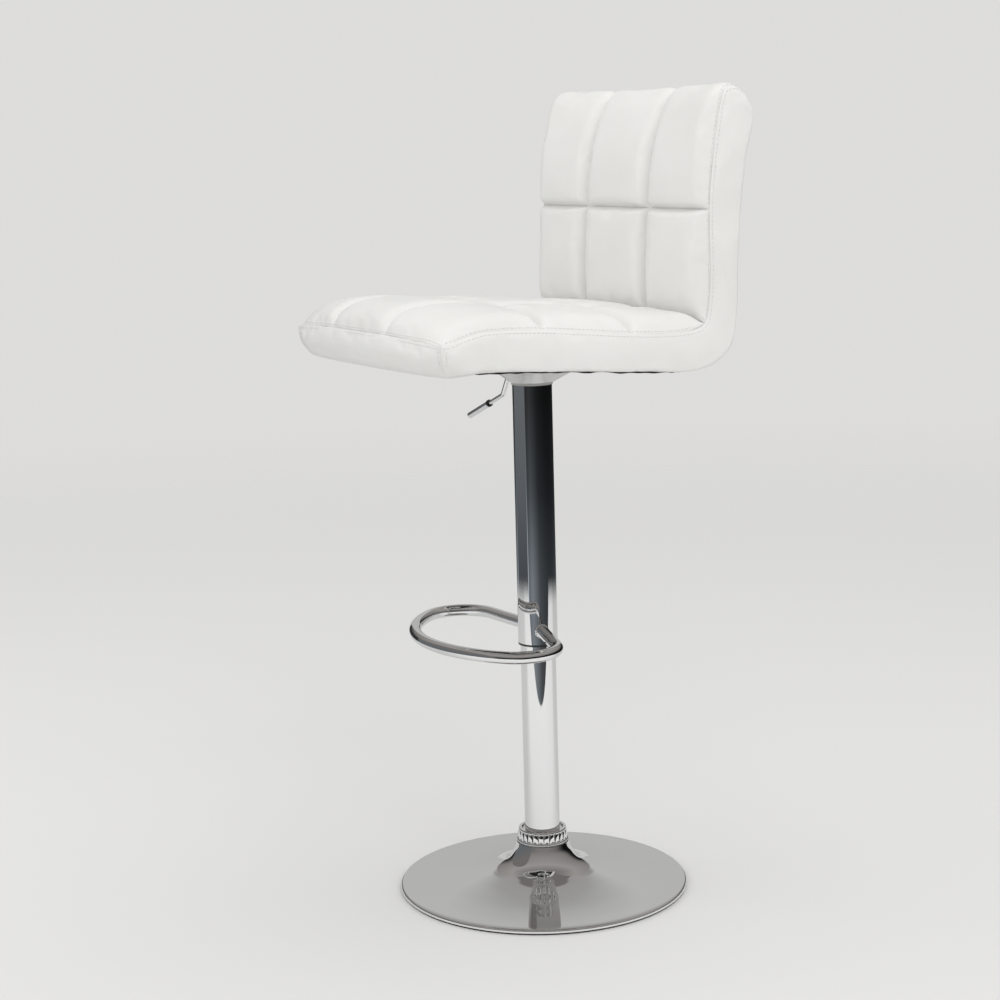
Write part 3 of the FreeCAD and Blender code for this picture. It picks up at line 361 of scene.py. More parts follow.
MATERIALS = {
    "chrome": metal("chrome", (0.86, 0.865, 0.87), 0.015, 0.05, 900, (1, 1, 0.02), 0.015),
    "steel": metal("steel", (0.55, 0.55, 0.56), 0.22, 0.38, 1400, strength=0.08),
    "zinc": metal("zinc", (0.74, 0.735, 0.72), 0.14, 0.3, 1100, strength=0.08),
    "black_painted": moulded("black_painted", (0.02, 0.02, 0.022), 0.42, 150),
    "black_rubber": moulded("black_rubber", (0.015, 0.015, 0.016), 0.8, 260, 0.3),
    "black_plastic": moulded("black_plastic", (0.02, 0.02, 0.021), 0.45),
    "grey_plastic": moulded("grey_plastic", (0.52, 0.52, 0.50), 0.4),
    "white_leather": leather(),
    "foam": foam(),
    "plywood": plywood(),
    "dust_cloth": woven_black(),
}
THREAD = thread()


def finish_cad_nodes():
    """Every CAD node gets the finish of its own material slot."""
    for part in frame["record"]["subparts"]:
        node = frame["nodes"][part["node"]]
        material = MATERIALS[part["material_slot"]]
        if not node.material_slots:
            node.data.materials.append(material)
        for held in node.material_slots:
            held.link = "OBJECT"
            held.material = material


def dress(obj, body, slot, nodes=(), material=None):
    """Gives a finished piece its material, the slot's unless another is given, smooth shading and its body,
    and hides the CAD nodes it stands for.
    """
    obj.data.materials.clear()
    obj.data.materials.append(material or MATERIALS[slot])
    shade_smooth(obj)
    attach(obj, body)
    if nodes:
        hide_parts(*nodes)
    return obj


# ------------------------ upholstery

# Across the seat: the side seams, the column seams between pads, and the fullest part of the bands.
SEAM_X, COLUMN_X, BAND_X = 200.0, 73.0, 207.3
# How far from each kind of seam its pad has risen.
SIDE_ROLL, BACK_ROLL, COLUMN_GROOVE, ROW_GROOVE, SHARP_GROOVE, THIN_GROOVE = 11.0, 8.0, 8.5, 8.5, 5.5, 3.4
# The flat floors that close the pads: on the seat board between two y, on the back board between two z.
BOARD_TOP, SEAT_FLOOR_Y = 14.0, (-226, 120)
BOARD_FRONT, BACK_FLOOR_Z = 155.0, (52, 330)
FLOOR_INSET = 0.975
FRONT_BOW = 2.6
SEAM_CREASE = 0.6
# Steps of points across an outer pad and the middle pad, the front band and the rear panel.
OUTER_STEPS, MIDDLE_STEPS, FRONT_STEPS, REAR_ACROSS = 26, 28, 70, 56

# For each kind of cover, the foam's pressure behind it, how much larger than its seams it is cut, and the
# furthest it moves, in metres.
PAD_CLOTH = {"pressure": 3.0, "slack": 0.006, "cap": 0.0022}
BAND_CLOTH = {"pressure": 1.2, "slack": 0.006, "cap": 0.0012}
REAR_CLOTH = {"pressure": 1.0, "slack": 0.006, "cap": 0.0015}

# Stations of the seat panel from the front seam to the crease, (y, z) each: the side seam, the level
# the column seams are sewn down to, and the top of the pads.
SEAT_SIDE = [
    (-242, 28.6), (-228, 32), (-208, 39.5), (-178, 46.5), (-104, 49), (24, 45.7), (90, 47.5), (131, 60),
]
SEAT_GROOVE = [(-255, 34), (-247, 44), (-227, 53), (-190, 59), (-104, 60.5), (24, 60), (95, 59), (129, 60)]
SEAT_CROWN = [(-257, 36), (-254, 50), (-232, 66), (-190, 74.5), (-104, 76), (24, 76), (95, 75), (122, 73)]
SEAT_STEPS = [4, 6, 8, 14, 26, 14, 12]
# The stations that are seams, with the roll of the pads beside them.
SEAT_ROWS = {0: SIDE_ROLL, 4: ROW_GROOVE, 5: ROW_GROOVE, 7: SHARP_GROOVE}

# Stations of the back panel from the crease, over the top edge, to the seam on the back.
BACK_SIDE = [
    (131, 60), (136, 80), (136, 125), (130, 201.6), (130.5, 250), (134, 300), (141, 346), (152, 355),
    (167, 352), (176, 338),
]
BACK_GROOVE = [
    (129, 60), (134, 78), (131, 125), (127.5, 201.6), (131, 250), (138, 300), (149, 338), (158, 351),
    (168, 352), (176, 340),
]
BACK_CROWN = [
    (122, 72), (117, 90), (112.5, 135), (113, 201.6), (114, 250), (121, 293), (136, 335), (152, 356.5),
    (168, 358), (181, 342),
]
BACK_STEPS = [8, 10, 18, 12, 10, 9, 4, 4, 5]
BACK_ROWS = {0: SHARP_GROOVE, 3: THIN_GROOVE, 9: SIDE_ROLL}


def column_positions():
    """The x of every line of points across a panel, closer together at the seams."""
    left = spaced(-SEAM_X, -COLUMN_X, OUTER_STEPS)
    middle = spaced(-COLUMN_X, COLUMN_X, MIDDLE_STEPS)
    return np.concatenate([left[:-1], middle[:-1], -left[::-1]])


def bowed(x):
    """1 in the middle of the seat and 0 at its side seams: how far the grooves and the front edge bow out."""
    return 1 - abs(x / SEAM_X) ** FRONT_BOW


def quilted_surface(lines, steps, rows, roll):
    """Points of a quilted panel in the seat's frame, its grid size, and the points held by its seams.
    lines are the stations of its side seam, its grooves and its crown; rows gives, for each station that is
    a seam, how far from it its pad has risen."""
    xs = column_positions()
    side_line, groove_line, crown_line = (smooth(line, steps) for line in lines)
    lengths = np.concatenate([[0], np.cumsum(np.linalg.norm(np.diff(groove_line, axis=0), axis=1))])
    stations = np.concatenate([[0], np.cumsum(steps)])
    seam_rows = [int(stations[k]) for k in rows]
    seam_columns = [i for i, x in enumerate(xs) if min(abs(abs(x) - SEAM_X), abs(abs(x) - COLUMN_X)) < 1e-6]
    points, held = [], []
    for j in range(len(groove_line)):
        rise_along = math.prod(
            math.tanh(abs(lengths[j] - lengths[row]) / width) for row, width in zip(seam_rows, rows.values())
        )
        for i, x in enumerate(xs):
            base = side_line[j] + (groove_line[j] - side_line[j]) * bowed(x)
            rise = rise_along * math.tanh((SEAM_X - abs(x)) / roll)
            rise *= math.tanh(abs(abs(x) - COLUMN_X) / COLUMN_GROOVE)
            y, z = base + (crown_line[j] - groove_line[j]) * rise
            points.append((x, y, z))
            if j in seam_rows or i in seam_columns:
                held.append(j * len(xs) + i)
    return points, len(groove_line), len(xs), held


def mark_seams(obj, held):
    """Creases the edges that run along the seams, so that the subdivision keeps their line."""
    bm = bmesh.new()
    bm.from_mesh(obj.data)
    layer = bm.edges.layers.float.new("crease_edge")
    kept = set(held)
    for edge in bm.edges:
        if edge.verts[0].index in kept and edge.verts[1].index in kept:
            edge[layer] = SEAM_CREASE
    bm.to_mesh(obj.data)
    bm.free()


def close_pad(obj, flatten):
    """Joins the rim of an open panel to a flat floor, where flatten(point) puts each rim point."""
    bm = bmesh.new()
    bm.from_mesh(obj.data)
    rim = [e for e in bm.edges if e.is_boundary]
    made = bmesh.ops.extrude_edge_only(bm, edges=rim)["geom"]
    low_edges = [g for g in made if isinstance(g, bmesh.types.BMEdge) and g.is_boundary]
    for vertex in {v for e in low_edges for v in e.verts}:
        vertex.co = flatten(vertex.co)
    bmesh.ops.holes_fill(bm, edges=low_edges, sides=0)
    bmesh.ops.recalc_face_normals(bm, faces=bm.faces)
    bm.to_mesh(obj.data)
    bm.free()


def to_seat_frame(point):
    """The seat's own coordinates, in millimetres, of a point of the row frame."""
    y, z = point.y, point.z - SEAT_BASE
    return (
        point.x / MM,
        (y * math.cos(TILT) - z * math.sin(TILT)) / MM,
        (y * math.sin(TILT) + z * math.cos(TILT)) / MM,
    )


def quilted_panel(name, node, lines, steps, rows, roll, flatten):
    """One quilted cushion: its pads blown out between the seams, subdivided and closed underneath."""
    points, row_count, column_count, held = quilted_surface(lines, steps, rows, roll)
    faces = grid_faces(row_count, column_count)
    shaped = inflate(name, [seat_point(*p) for p in points], faces, held, **PAD_CLOTH)
    obj = new_object(name, shaped, faces)
    mark_seams(obj, held)
    obj.modifiers.new("finer", "SUBSURF").levels = 1
    apply_modifiers(obj)
    close_pad(obj, flatten)
    dress(obj, "seat", "white_leather", [node])
    return obj


def seat_floor(point):
    """Where a rim point of the seat's cushion lies on the seat board."""
    x, y, _ = to_seat_frame(point)
    return seat_point(x * FLOOR_INSET, limited(y, *SEAT_FLOOR_Y), BOARD_TOP)


def back_floor(point):
    """Where a rim point of the back's cushion lies on the back board."""
    x, _, z = to_seat_frame(point)
    return seat_point(x * FLOOR_INSET, BOARD_FRONT, limited(z, *BACK_FLOOR_Z))


# Stations of the outer edge of the side band, matched with those of the seam along the panels.
BAND_SEAM = SEAT_SIDE[:-1] + [(118, 52)] + BACK_SIDE
BAND_EDGE = [
    (-238, -9.5), (-228, -8.4), (-208, -5.8), (-178, -1.6), (-104, 0), (24, 0), (98, 0), (130, 4), (151, 13),
    (171.5, 35), (176, 80), (175, 135), (174.5, 201.6), (178, 258), (184, 296), (186, 312), (185, 320),
    (182.5, 327),
]
BAND_STEPS = [3, 4, 6, 14, 24, 12, 6, 4, 6, 8, 14, 9, 9, 7, 4, 4, 4]
# Sections of the bands from seam to edge and on underneath: share of the way, and x or how far it stands out.
SIDE_SECTION = [
    (0, SEAM_X), (0.18, 204.6), (0.5, BAND_X), (0.84, 207.2), (0.97, 204.8), (1.0, 199), (1.0, 186),
]
SIDE_SECTION_STEPS = [3, 4, 4, 3, 3, 3]
FRONT_SECTION = [(0, 0), (0.22, 4.0), (0.5, 5.2), (0.78, 2.2), (0.95, -5), (1.0, -12), (1.0, -22)]
FRONT_SECTION_STEPS = [4, 4, 4, 4, 3, 3]
# The columns of points that hold a band: at its seam, at its lower edge and at its end underneath.
BAND_HELD = (0, -4, -1)
FRONT_EDGE_STEP, FRONT_CORNER_POWER = 4, 9

# The front corners: how soon the side band is full, how far it laps over the front band, and how far and how
# widely both are drawn in under the corner.
CORNER_REACH, CORNER_LAP, CORNER_DRAW, CORNER_SPREAD = 26.0, 1.4, 13.0, 34.0


def drawn_in(distance, share):
    """How far the bands are drawn in under a front corner, at share of their height and distance from it."""
    return CORNER_DRAW * share**3 * math.exp(-((distance / CORNER_SPREAD) ** 2))


def side_band(side, sign):
    """The smooth band down one side, from the panels' seam out, round its edge and a little way under."""
    seam, edge = smooth(BAND_SEAM, BAND_STEPS), smooth(BAND_EDGE, BAND_STEPS)
    section = smooth(SIDE_SECTION, SIDE_SECTION_STEPS)
    points = []
    for s, e in zip(seam, edge):
        distance = s[0] - BAND_SEAM[0][0]
        corner = limited(distance / CORNER_REACH, 0, 1)
        full = math.sin(math.pi / 2 * corner)
        for share, x in section:
            y, z = s + (e - s) * share
            drawn = drawn_in(distance, share)
            y += drawn - CORNER_LAP * (1 - corner)
            x = x if x < SEAM_X else SEAM_X + (x - SEAM_X) * full
            points.append(seat_point(sign * (x - drawn), y, z))
    return leather_sheet(f"side_band_{side}", points, len(section), BAND_HELD, BAND_CLOTH, sign > 0)


def front_edge(x):
    """The front seam and the front band's lower edge at x, (y, z) each."""
    seam = np.array(SEAT_SIDE[0]) + (np.array(SEAT_GROOVE[0]) - np.array(SEAT_SIDE[0])) * bowed(x)
    return seam, np.array([seam[0] + FRONT_EDGE_STEP, BAND_EDGE[0][1]])


def front_band():
    """The waterfall band across the front, between the two corner seams."""
    section = smooth(FRONT_SECTION, FRONT_SECTION_STEPS)
    xs = spaced(-SEAM_X, SEAM_X, FRONT_STEPS, 0.2)
    points = []
    for x in xs:
        seam, low = front_edge(x)
        round_corner = 1 - abs(x / SEAM_X) ** FRONT_CORNER_POWER
        for share, proud in section:
            y, z = seam + (low - seam) * share
            drawn = drawn_in(SEAM_X - abs(x), share)
            points.append(seat_point(x - math.copysign(drawn, x), y - proud * round_corner + drawn, z))
    return leather_sheet("front_band", points, len(section), BAND_HELD, BAND_CLOTH, True)


# Stations of the rear panel from under the seat, round the heel and up to the back's top seam.
REAR_LINE = [
    (112, 0.2), (131, 4), (152, 13), (172, 35), (176.5, 80), (175.8, 135), (175.2, 201.6), (178.5, 258),
    (184.5, 296), (186.2, 314), (184, 326), (176, 340),
]
REAR_STEPS = [4, 4, 5, 8, 9, 12, 10, 7, 4, 4, 5]
# Half the panel's width, how far it stands off its line, and how much more in its middle up to REAR_FULL_TO.
REAR_X, REAR_OFF, REAR_FULLNESS, REAR_FULL_TO = 197.0, 0.8, 2.0, 330
# From REAR_TOP up, over REAR_RISE, it widens to meet the side bands, and its edge is tucked in behind them.
REAR_TOP, REAR_RISE, REAR_WIDENING, REAR_TUCK = 296.0, 20, 10.4, 2.6


def rear_panel():
    """The plain panel down the back and round the heel, a little fuller in its middle."""
    line = smooth(REAR_LINE, REAR_STEPS)
    xs = spaced(-REAR_X, REAR_X, REAR_ACROSS, 0.3)
    points = []
    for y, z in line:
        wider = REAR_WIDENING * limited((z - REAR_TOP) / REAR_RISE, 0, 1)
        for x in xs:
            full = (1 - (x / REAR_X) ** 4) * math.sin(math.pi * limited(z / REAR_FULL_TO, 0, 1))
            tucked = abs(x / REAR_X) ** 8 * wider / REAR_WIDENING
            off = y + REAR_OFF + REAR_FULLNESS * full - REAR_TUCK * tucked
            points.append(seat_point(x * (1 + wider / REAR_X), off, z))
    leather_sheet("rear_panel", points, len(xs), (0, -1), REAR_CLOTH, False)


LEATHER_THICK = 1.2


def leather_sheet(node, points, columns, held, cloth, flipped):
    """The sheet of leather that stands for a CAD node. Its outer face runs through the points of a grid,
    sewn down at its first and last rows and its held columns and blown out between them."""
    rows = len(points) // columns
    faces = grid_faces(rows, columns)
    if flipped:
        faces = [f[::-1] for f in faces]
    shaped = inflate(node, points, faces, sewn_points(rows, columns, held), **cloth)
    obj = new_object(node + "_leather", shaped, faces)
    thick = obj.modifiers.new("thickness", "SOLIDIFY")
    thick.thickness = LEATHER_THICK * MM
    thick.offset = -1
    obj.modifiers.new("finer", "SUBSURF").levels = 1
    apply_modifiers(obj)
    outward(obj)
    return dress(obj, "seat", "white_leather", [node])


# ------------------------ stitching


def surface_tree(*objects):
    """A search tree over the finished surfaces of these pieces."""
    bm = bmesh.new()
    for obj in objects:
        bm.from_mesh(obj.data)
    tree = BVHTree.FromBMesh(bm)
    bm.free()
    return tree


STITCH_PITCH, STITCH_LENGTH, STITCH_RADIUS, STITCH_LIFT = 5.6, 3.9, 0.5, 0.15
# Rings of a stitch from tip to tip: share of its length from the middle, and share of its full radius.
STITCH_RINGS = ((-0.5, 0.25), (-0.38, 0.85), (0.0, 1.0), (0.38, 0.85), (0.5, 0.25))
STITCH_SIDES = 6
# How far from a seam its two rows of stitches run.
SEAM_ALLOWANCE = 3.4
# A row is drawn a little off the leather and then laid on it: off the panels, before the front band, and
# beside the side band along its seam and at its corner.
OFF_PANELS, BEFORE_FRONT, BESIDE_BAND, BESIDE_CORNER = 1.5, 2, 204, 205
# How far from the corners the front rows end, how far under the front seam the corner rows begin, and the
# height at which they end.
FRONT_ROW_END, CORNER_ROW_TOP, CORNER_ROW_FOOT = 4, 5, 3


def stitch_shape():
    """One stitch along x, a rounded bead of thread: rings of points from tip to tip."""
    rings = []
    for share, swell in STITCH_RINGS:
        for k in range(STITCH_SIDES):
            angle = 2 * math.pi * k / STITCH_SIDES
            radius = swell * STITCH_RADIUS * MM
            rings.append((share * STITCH_LENGTH * MM, radius * math.cos(angle), radius * math.sin(angle)))
    return rings


def stitch_row(points, faces, tree, path):
    """Adds stitches to points and faces, one each STITCH_PITCH along path, laid on the tree's surface."""
    line = np.array([tuple(p) for p in path], float)
    lengths = np.concatenate([[0], np.cumsum(np.linalg.norm(np.diff(line, axis=0), axis=1))])
    shape = stitch_shape()
    for at in np.arange(STITCH_PITCH * MM / 2, lengths[-1], STITCH_PITCH * MM):
        near = [Vector([np.interp(at + d, lengths, line[:, k]) for k in range(3)]) for d in (-MM, MM)]
        place, normal, _, _ = tree.find_nearest((near[0] + near[1]) / 2)
        along = (near[1] - near[0]).normalized()
        along = (along - normal * along.dot(normal)).normalized()
        turn = Matrix((along, normal.cross(along), normal)).transposed()
        faces += rod_faces(len(points), len(STITCH_RINGS), STITCH_SIDES)
        points += [place + normal * STITCH_LIFT * MM + turn @ Vector(p) for p in shape]


def thread_piece(name, points, faces):
    """The finished piece of thread made of these stitches."""
    obj = new_object(name, points, faces)
    outward(obj)
    dress(obj, "seat", "white_leather", material=THREAD)


def side_stitching(side, sign, panels, band):
    """Two rows down the long seam of one side, one on the panels and one on the band."""
    points, faces = [], []
    seam, edge = smooth(BAND_SEAM, BAND_STEPS), smooth(BAND_EDGE, BAND_STEPS)
    inner = [seat_point(sign * (SEAM_X - SEAM_ALLOWANCE), y, z + OFF_PANELS) for y, z in seam]
    stitch_row(points, faces, surface_tree(*panels), inner)
    outer = []
    for s, e in zip(seam, edge):
        y, z = s + (e - s) / np.linalg.norm(e - s) * SEAM_ALLOWANCE
        outer.append(seat_point(sign * BESIDE_BAND, y, z))
    stitch_row(points, faces, surface_tree(band), outer)
    thread_piece(f"seam_stitching_{side}", points, faces)


def front_stitching(seat, front, bands):
    """Two rows along the front seam, and one each side of the two corner seams."""
    points, faces = [], []
    xs = np.linspace(-SEAM_X + FRONT_ROW_END, SEAM_X - FRONT_ROW_END, 60)
    seam = [front_edge(x)[0] for x in xs]
    above = [seat_point(x, y + OFF_PANELS, z + SEAM_ALLOWANCE) for x, (y, z) in zip(xs, seam)]
    below = [seat_point(x, y - BEFORE_FRONT, z - SEAM_ALLOWANCE) for x, (y, z) in zip(xs, seam)]
    stitch_row(points, faces, surface_tree(seat), above)
    stitch_row(points, faces, surface_tree(front), below)
    corner_y, corner_z = SEAT_SIDE[0]
    heights = np.linspace(corner_z - CORNER_ROW_TOP, CORNER_ROW_FOOT, 8)
    for sign, band in zip((1, -1), bands):
        on_band = [seat_point(sign * BESIDE_CORNER, corner_y + SEAM_ALLOWANCE + 2, z) for z in heights]
        on_front = [seat_point(sign * (SEAM_X - SEAM_ALLOWANCE), corner_y - 3, z) for z in heights]
        stitch_row(points, faces, surface_tree(band), on_band)
        stitch_row(points, faces, surface_tree(front), on_front)
    thread_piece("front_stitching", points, faces)


# ------------------------ underside

# The cloth's outline, how square its corners are, and the round hole in it.
COVER_FRONT, COVER_REAR, COVER_X, COVER_SQUARE, COVER_HOLE = -226.0, 120.0, 201.0, 7, 76.0
COVER_THICK, COVER_GAP, COVER_SAG = 0.5, 0.4, 1.2
# How far its edge hangs down, how much that varies, and the size of the waves.
EDGE_DROP, EDGE_WAVE, WAVE_SIZE = 2.0, 2.2, 17
COVER_RINGS, COVER_AROUND = 16, 160
STAPLE_CROWN, STAPLE_WIRE, STAPLE_ROWS = (5.0, 0.6), 0.45, 3
# How far from the cloth's front edge and its other edges the staples run, how many there are in a row, and
# how deep their legs go into the board.
FRONT_STAPLES_IN, STAPLES_IN, STAPLES_ACROSS, STAPLES_ALONG, STAPLE_DEEP = 9, 8, 11, 10, 1.5


def underside(y):
    """How high the seat's underside lies at y."""
    ys, zs = zip(*BAND_EDGE[:6])
    return float(np.interp(y, ys, zs))


def underside_cover():
    """The black cloth stapled under the seat: slack between its staples, with a round hole at the plate."""
    points = []
    for r in range(COVER_RINGS + 1):
        share = (r / COVER_RINGS) ** 0.8
        for k in range(COVER_AROUND):
            angle = 2 * math.pi * k / COVER_AROUND
            c, s = math.cos(angle), math.sin(angle)
            corner = (abs(c) ** COVER_SQUARE + abs(s) ** COVER_SQUARE) ** (-1 / COVER_SQUARE)
            rim_x = COVER_X * c * corner
            rim_y = (COVER_REAR if s > 0 else -COVER_FRONT) * s * corner
            x = COVER_HOLE * c * (1 - share) + rim_x * share
            y = COVER_HOLE * s * (1 - share) + rim_y * share
            wave = noise(Vector((x / WAVE_SIZE, y / WAVE_SIZE, 3.7)))
            slack = COVER_SAG * math.sin(math.pi * share) + share**4 * (EDGE_DROP + EDGE_WAVE * wave)
            points.append(seat_point(x, y, underside(y) - COVER_GAP - slack))
    faces = [f[::-1] for f in grid_faces(COVER_RINGS + 1, COVER_AROUND, closed=True)]
    obj = new_object("underside_cloth", points, faces)
    thick = obj.modifiers.new("thickness", "SOLIDIFY")
    thick.thickness = COVER_THICK * MM
    thick.offset = 1
    apply_modifiers(obj)
    outward(obj)
    return dress(obj, "seat", "dust_cloth", ["dust_cover"])


def staples(cloth):
    """Flat wire staples through the cloth's edge, one each 32 mm or so."""
    tree = surface_tree(cloth)
    points, faces = [], []
    across, along = np.linspace(-165, 165, STAPLES_ACROSS), np.linspace(-200, 90, STAPLES_ALONG)
    places = [(x, COVER_FRONT + FRONT_STAPLES_IN, 0) for x in across]
    places += [(x, COVER_REAR - STAPLES_IN, 0) for x in across]
    places += [(sign * (COVER_X - STAPLES_IN), y, 1) for sign in (-1, 1) for y in along]
    for x, y, turned in places:
        half_x, half_y = STAPLE_CROWN[::-1] if turned else STAPLE_CROWN
        faces += rod_faces(len(points), STAPLE_ROWS, 4)
        found = tree.ray_cast(seat_point(x, y, -60), seat_point(x, y, 0) - seat_point(x, y, -1))[0]
        low = to_seat_frame(found)[2] - 0.2 if found else underside(y)
        for z, shrink in ((low, 1.0), (low + STAPLE_WIRE, 1.0), (underside(y) + STAPLE_DEEP, 0.9)):
            for sx, sy in ((-1, -1), (1, -1), (1, 1), (-1, 1)):
                points.append(seat_point(x + sx * half_x * shrink, y + sy * half_y * shrink, z))
    obj = new_object("cover_staples", points, faces)
    outward(obj)
    dress(obj, "seat", "zinc")


# ------------------------ metalwork


TURNED_SEGMENTS = 224
# Edges that bend by more than these many degrees stay crisp.
TUBE_SHARP, DISH_SHARP, COLLAR_SHARP = 35, 50, 38


def turned_piece(name, node, body, profile, sharp, segments=TURNED_SEGMENTS, radius_at=None):
    """A finely divided chrome turning, with crisp edges where it bends by more than sharp degrees."""
    obj = revolve(name, profile, segments, radius_at)
    outward(obj)
    dress(obj, body, "chrome", [node])
    obj.modifiers.new("edges", "EDGE_SPLIT").split_angle = math.radians(sharp)


BASE_WALL = 2.0
# The outer face of the neck and dish: radius, and how far below the neck's top. It ends a little inside the
# rim, whose edge turns down from there: how far inside the rim, and how far below the top.
DISH_LINE = [
    (35, 0), (38, 9.0), (41.5, 16.5), (45.3, 22.6), (49.5, 27.3), (54, 30.5), (59, 33.0), (66, 35.6),
    (80, 39.8), (100, 44.0), (130, 48.3), (160, 51.0),
]
RIM_LINE = [(4, 52.6), (1.4, 53.3), (0.2, 54.8), (0, 56.4)]
RIM_LIP = 2.2


def base_dish():
    """The one-piece base: its neck sweeps down, turns through a small fillet and runs out over the dish."""
    low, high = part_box("base_dish")
    rim, foot, top = high.x / MM, low.z / MM, high.z / MM
    turned_down = [(rim - inside, top - drop) for inside, drop in RIM_LINE]
    sloping = [(radius, top - drop) for radius, drop in DISH_LINE]
    outer = smooth(sloping + turned_down[:1], [6] * len(sloping))
    along = np.gradient(outer, axis=0)
    down = np.column_stack([along[:, 1], -along[:, 0]]) / np.linalg.norm(along, axis=1, keepdims=True)
    inner = outer + down * BASE_WALL
    edge = smooth(turned_down + [(rim, foot)], [4, 4, 3, 2])
    profile = list(outer[:-1]) + list(edge) + [(rim - BASE_WALL, foot), (rim - BASE_WALL, foot + RIM_LIP)]
    turned_piece("base_dish_polished", "base_dish", "base", profile + list(inner[::-1]), DISH_SHARP)


# Each tube's node, body, wall and how far its edges are rounded.
TUBES = (("column_tube", "base", 1.85, 0.3), ("sleeve_tube", "seat", 1.5, 0.4))


def tubes():
    """The column and the sleeve, turned true."""
    for node, body, wall, lip in TUBES:
        low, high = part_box(node)
        radius, foot, top = high.x / MM, low.z / MM, high.z / MM
        profile = [
            (radius - wall, foot), (radius - lip, foot), (radius, foot + lip), (radius, top - lip),
            (radius - lip, top), (radius - wall, top),
        ]
        turned_piece(node + "_polished", node, body, profile, TUBE_SHARP)


COLLAR_FACETS, FACET_SEGMENTS, FACET_DEPTH = 26, 12, 0.075
# How deep each point of the collar's profile is cut between the facets, as a share of FACET_DEPTH.
COLLAR_CUTS = {5: 0.3, 6: 0.5, 7: 1.0, 8: 1.2}


def collar():
    """The bright cut collar where the column leaves the base: a flange, a band of cut facets and a lip."""
    low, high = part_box("trim_collar")
    foot, top, rim = low.z / MM, high.z / MM, high.x / MM
    profile = [
        (rim - 5, foot), (rim - 0.6, foot + 0.1), (rim, foot + 1.0), (rim, foot + 3.4),
        (rim - 0.8, foot + 4.6), (rim - 1.5, foot + 4.9), (rim - 1.3, foot + 5.8),
        (rim - 2.3, top - 4.6), (rim - 2.7, top - 3.4),
        (rim - 2.9, top - 2.6), (rim - 2.8, top - 1.2), (rim - 3.6, top), (rim - 7.2, top),
        (rim - 8.8, top - 2.0), (rim - 11.6, top - 2.0), (rim - 11.6, foot),
    ]

    def radius_at(angle, i):
        turn = (angle * COLLAR_FACETS / (2 * math.pi)) % 1
        return 1 - FACET_DEPTH * COLLAR_CUTS.get(i, 0) * abs(2 * turn - 1) ** 3

    segments = COLLAR_FACETS * FACET_SEGMENTS
    turned_piece("collar_cut_ring", "trim_collar", "base", profile, COLLAR_SHARP, segments, radius_at)


WELD_RADIUS, WELD_RIPPLES, RIPPLE_HEIGHT, RIPPLE_NOISE = 1.5, 18, 0.16, 0.12
WELD_AROUND, WELD_SECTION = 72, 10


def weld_bead(name, centre, axis, radius):
    """A rippled bead of weld round the foot of a tube that leaves centre along axis."""
    side = axis.orthogonal().normalized()
    up = axis.cross(side)
    points = []
    for k in range(WELD_AROUND):
        angle = 2 * math.pi * k / WELD_AROUND
        uneven = noise(Vector((math.cos(angle) * 3, math.sin(angle) * 3, 1.3)))
        bead = WELD_RADIUS * (1 + RIPPLE_HEIGHT * math.sin(angle * WELD_RIPPLES) + RIPPLE_NOISE * uneven)
        out = side * math.cos(angle) + up * math.sin(angle)
        for q in range(WELD_SECTION):
            turn = 2 * math.pi * q / WELD_SECTION
            points.append(
                centre + out * (radius + bead * math.cos(turn)) * MM + axis * bead * math.sin(turn) * MM
            )
    obj = new_object(name, points, ring_faces(WELD_AROUND, WELD_SECTION))
    outward(obj)
    dress(obj, "seat", "chrome")


# Degrees each leg of the footrest leans from straight sideways, and the whole loop is turned.
FOOTREST_LEAN, FOOTREST_TURN = 11.4, 7.0


def footrest_welds():
    """The two beads where the footrest's legs meet the sleeve."""
    low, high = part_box("footrest_loop")
    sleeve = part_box("sleeve_tube")[1].x
    height = (low.z + high.z) / 2
    tube = (high.z - low.z) / 2 / MM
    legs = {"left": -FOOTREST_LEAN - FOOTREST_TURN, "right": 180 + FOOTREST_LEAN - FOOTREST_TURN}
    for side, degrees in legs.items():
        angle = math.radians(degrees)
        leg = Vector((math.cos(angle), math.sin(angle), 0))
        weld_bead(f"footrest_weld_{side}", leg * sleeve + Vector((0, 0, height)), leg, tube)


# ------------------------ studio

# What the camera sees all round, and what lights the leather.
PALE, LIT = (0.725, 0.72, 0.708), (0.80, 0.80, 0.80)
FLOOR_SIZE, FLOOR_FADE = 30.0, (1.2, 5.0)
# Chrome sees the floor as a sheet of paper that ends in a round edge and, before the stool, in a straight
# one turned by PAPER_TURN; painted shade makes it darker behind the stool than before it.
PAPER_EDGE, PAPER_EDGE_FADE, PAPER_FRONT, PAPER_FRONT_FADE = 1.7, 0.35, 0.93, 0.02
PAPER_TURN = math.radians(10)
PAPER_TONE, PAPER_SHADE_REACH = (0.775, 0.772, 0.762), 0.25
PAPER_PAINTED_SHADE = [(0.0, (0.62, 0.62, 0.613)), (1.0, (0.84, 0.837, 0.828))]
BACKDROP_TOP, BACKDROP_LEFT, BACKDROP_RIGHT = 0.75, 0.375, 0.625
LOWEST = -0.3


def level(sine):
    """The place in a ramp of a direction whose elevation has this sine; the ramps begin at LOWEST."""
    return (sine - LOWEST) / (1 - LOWEST)


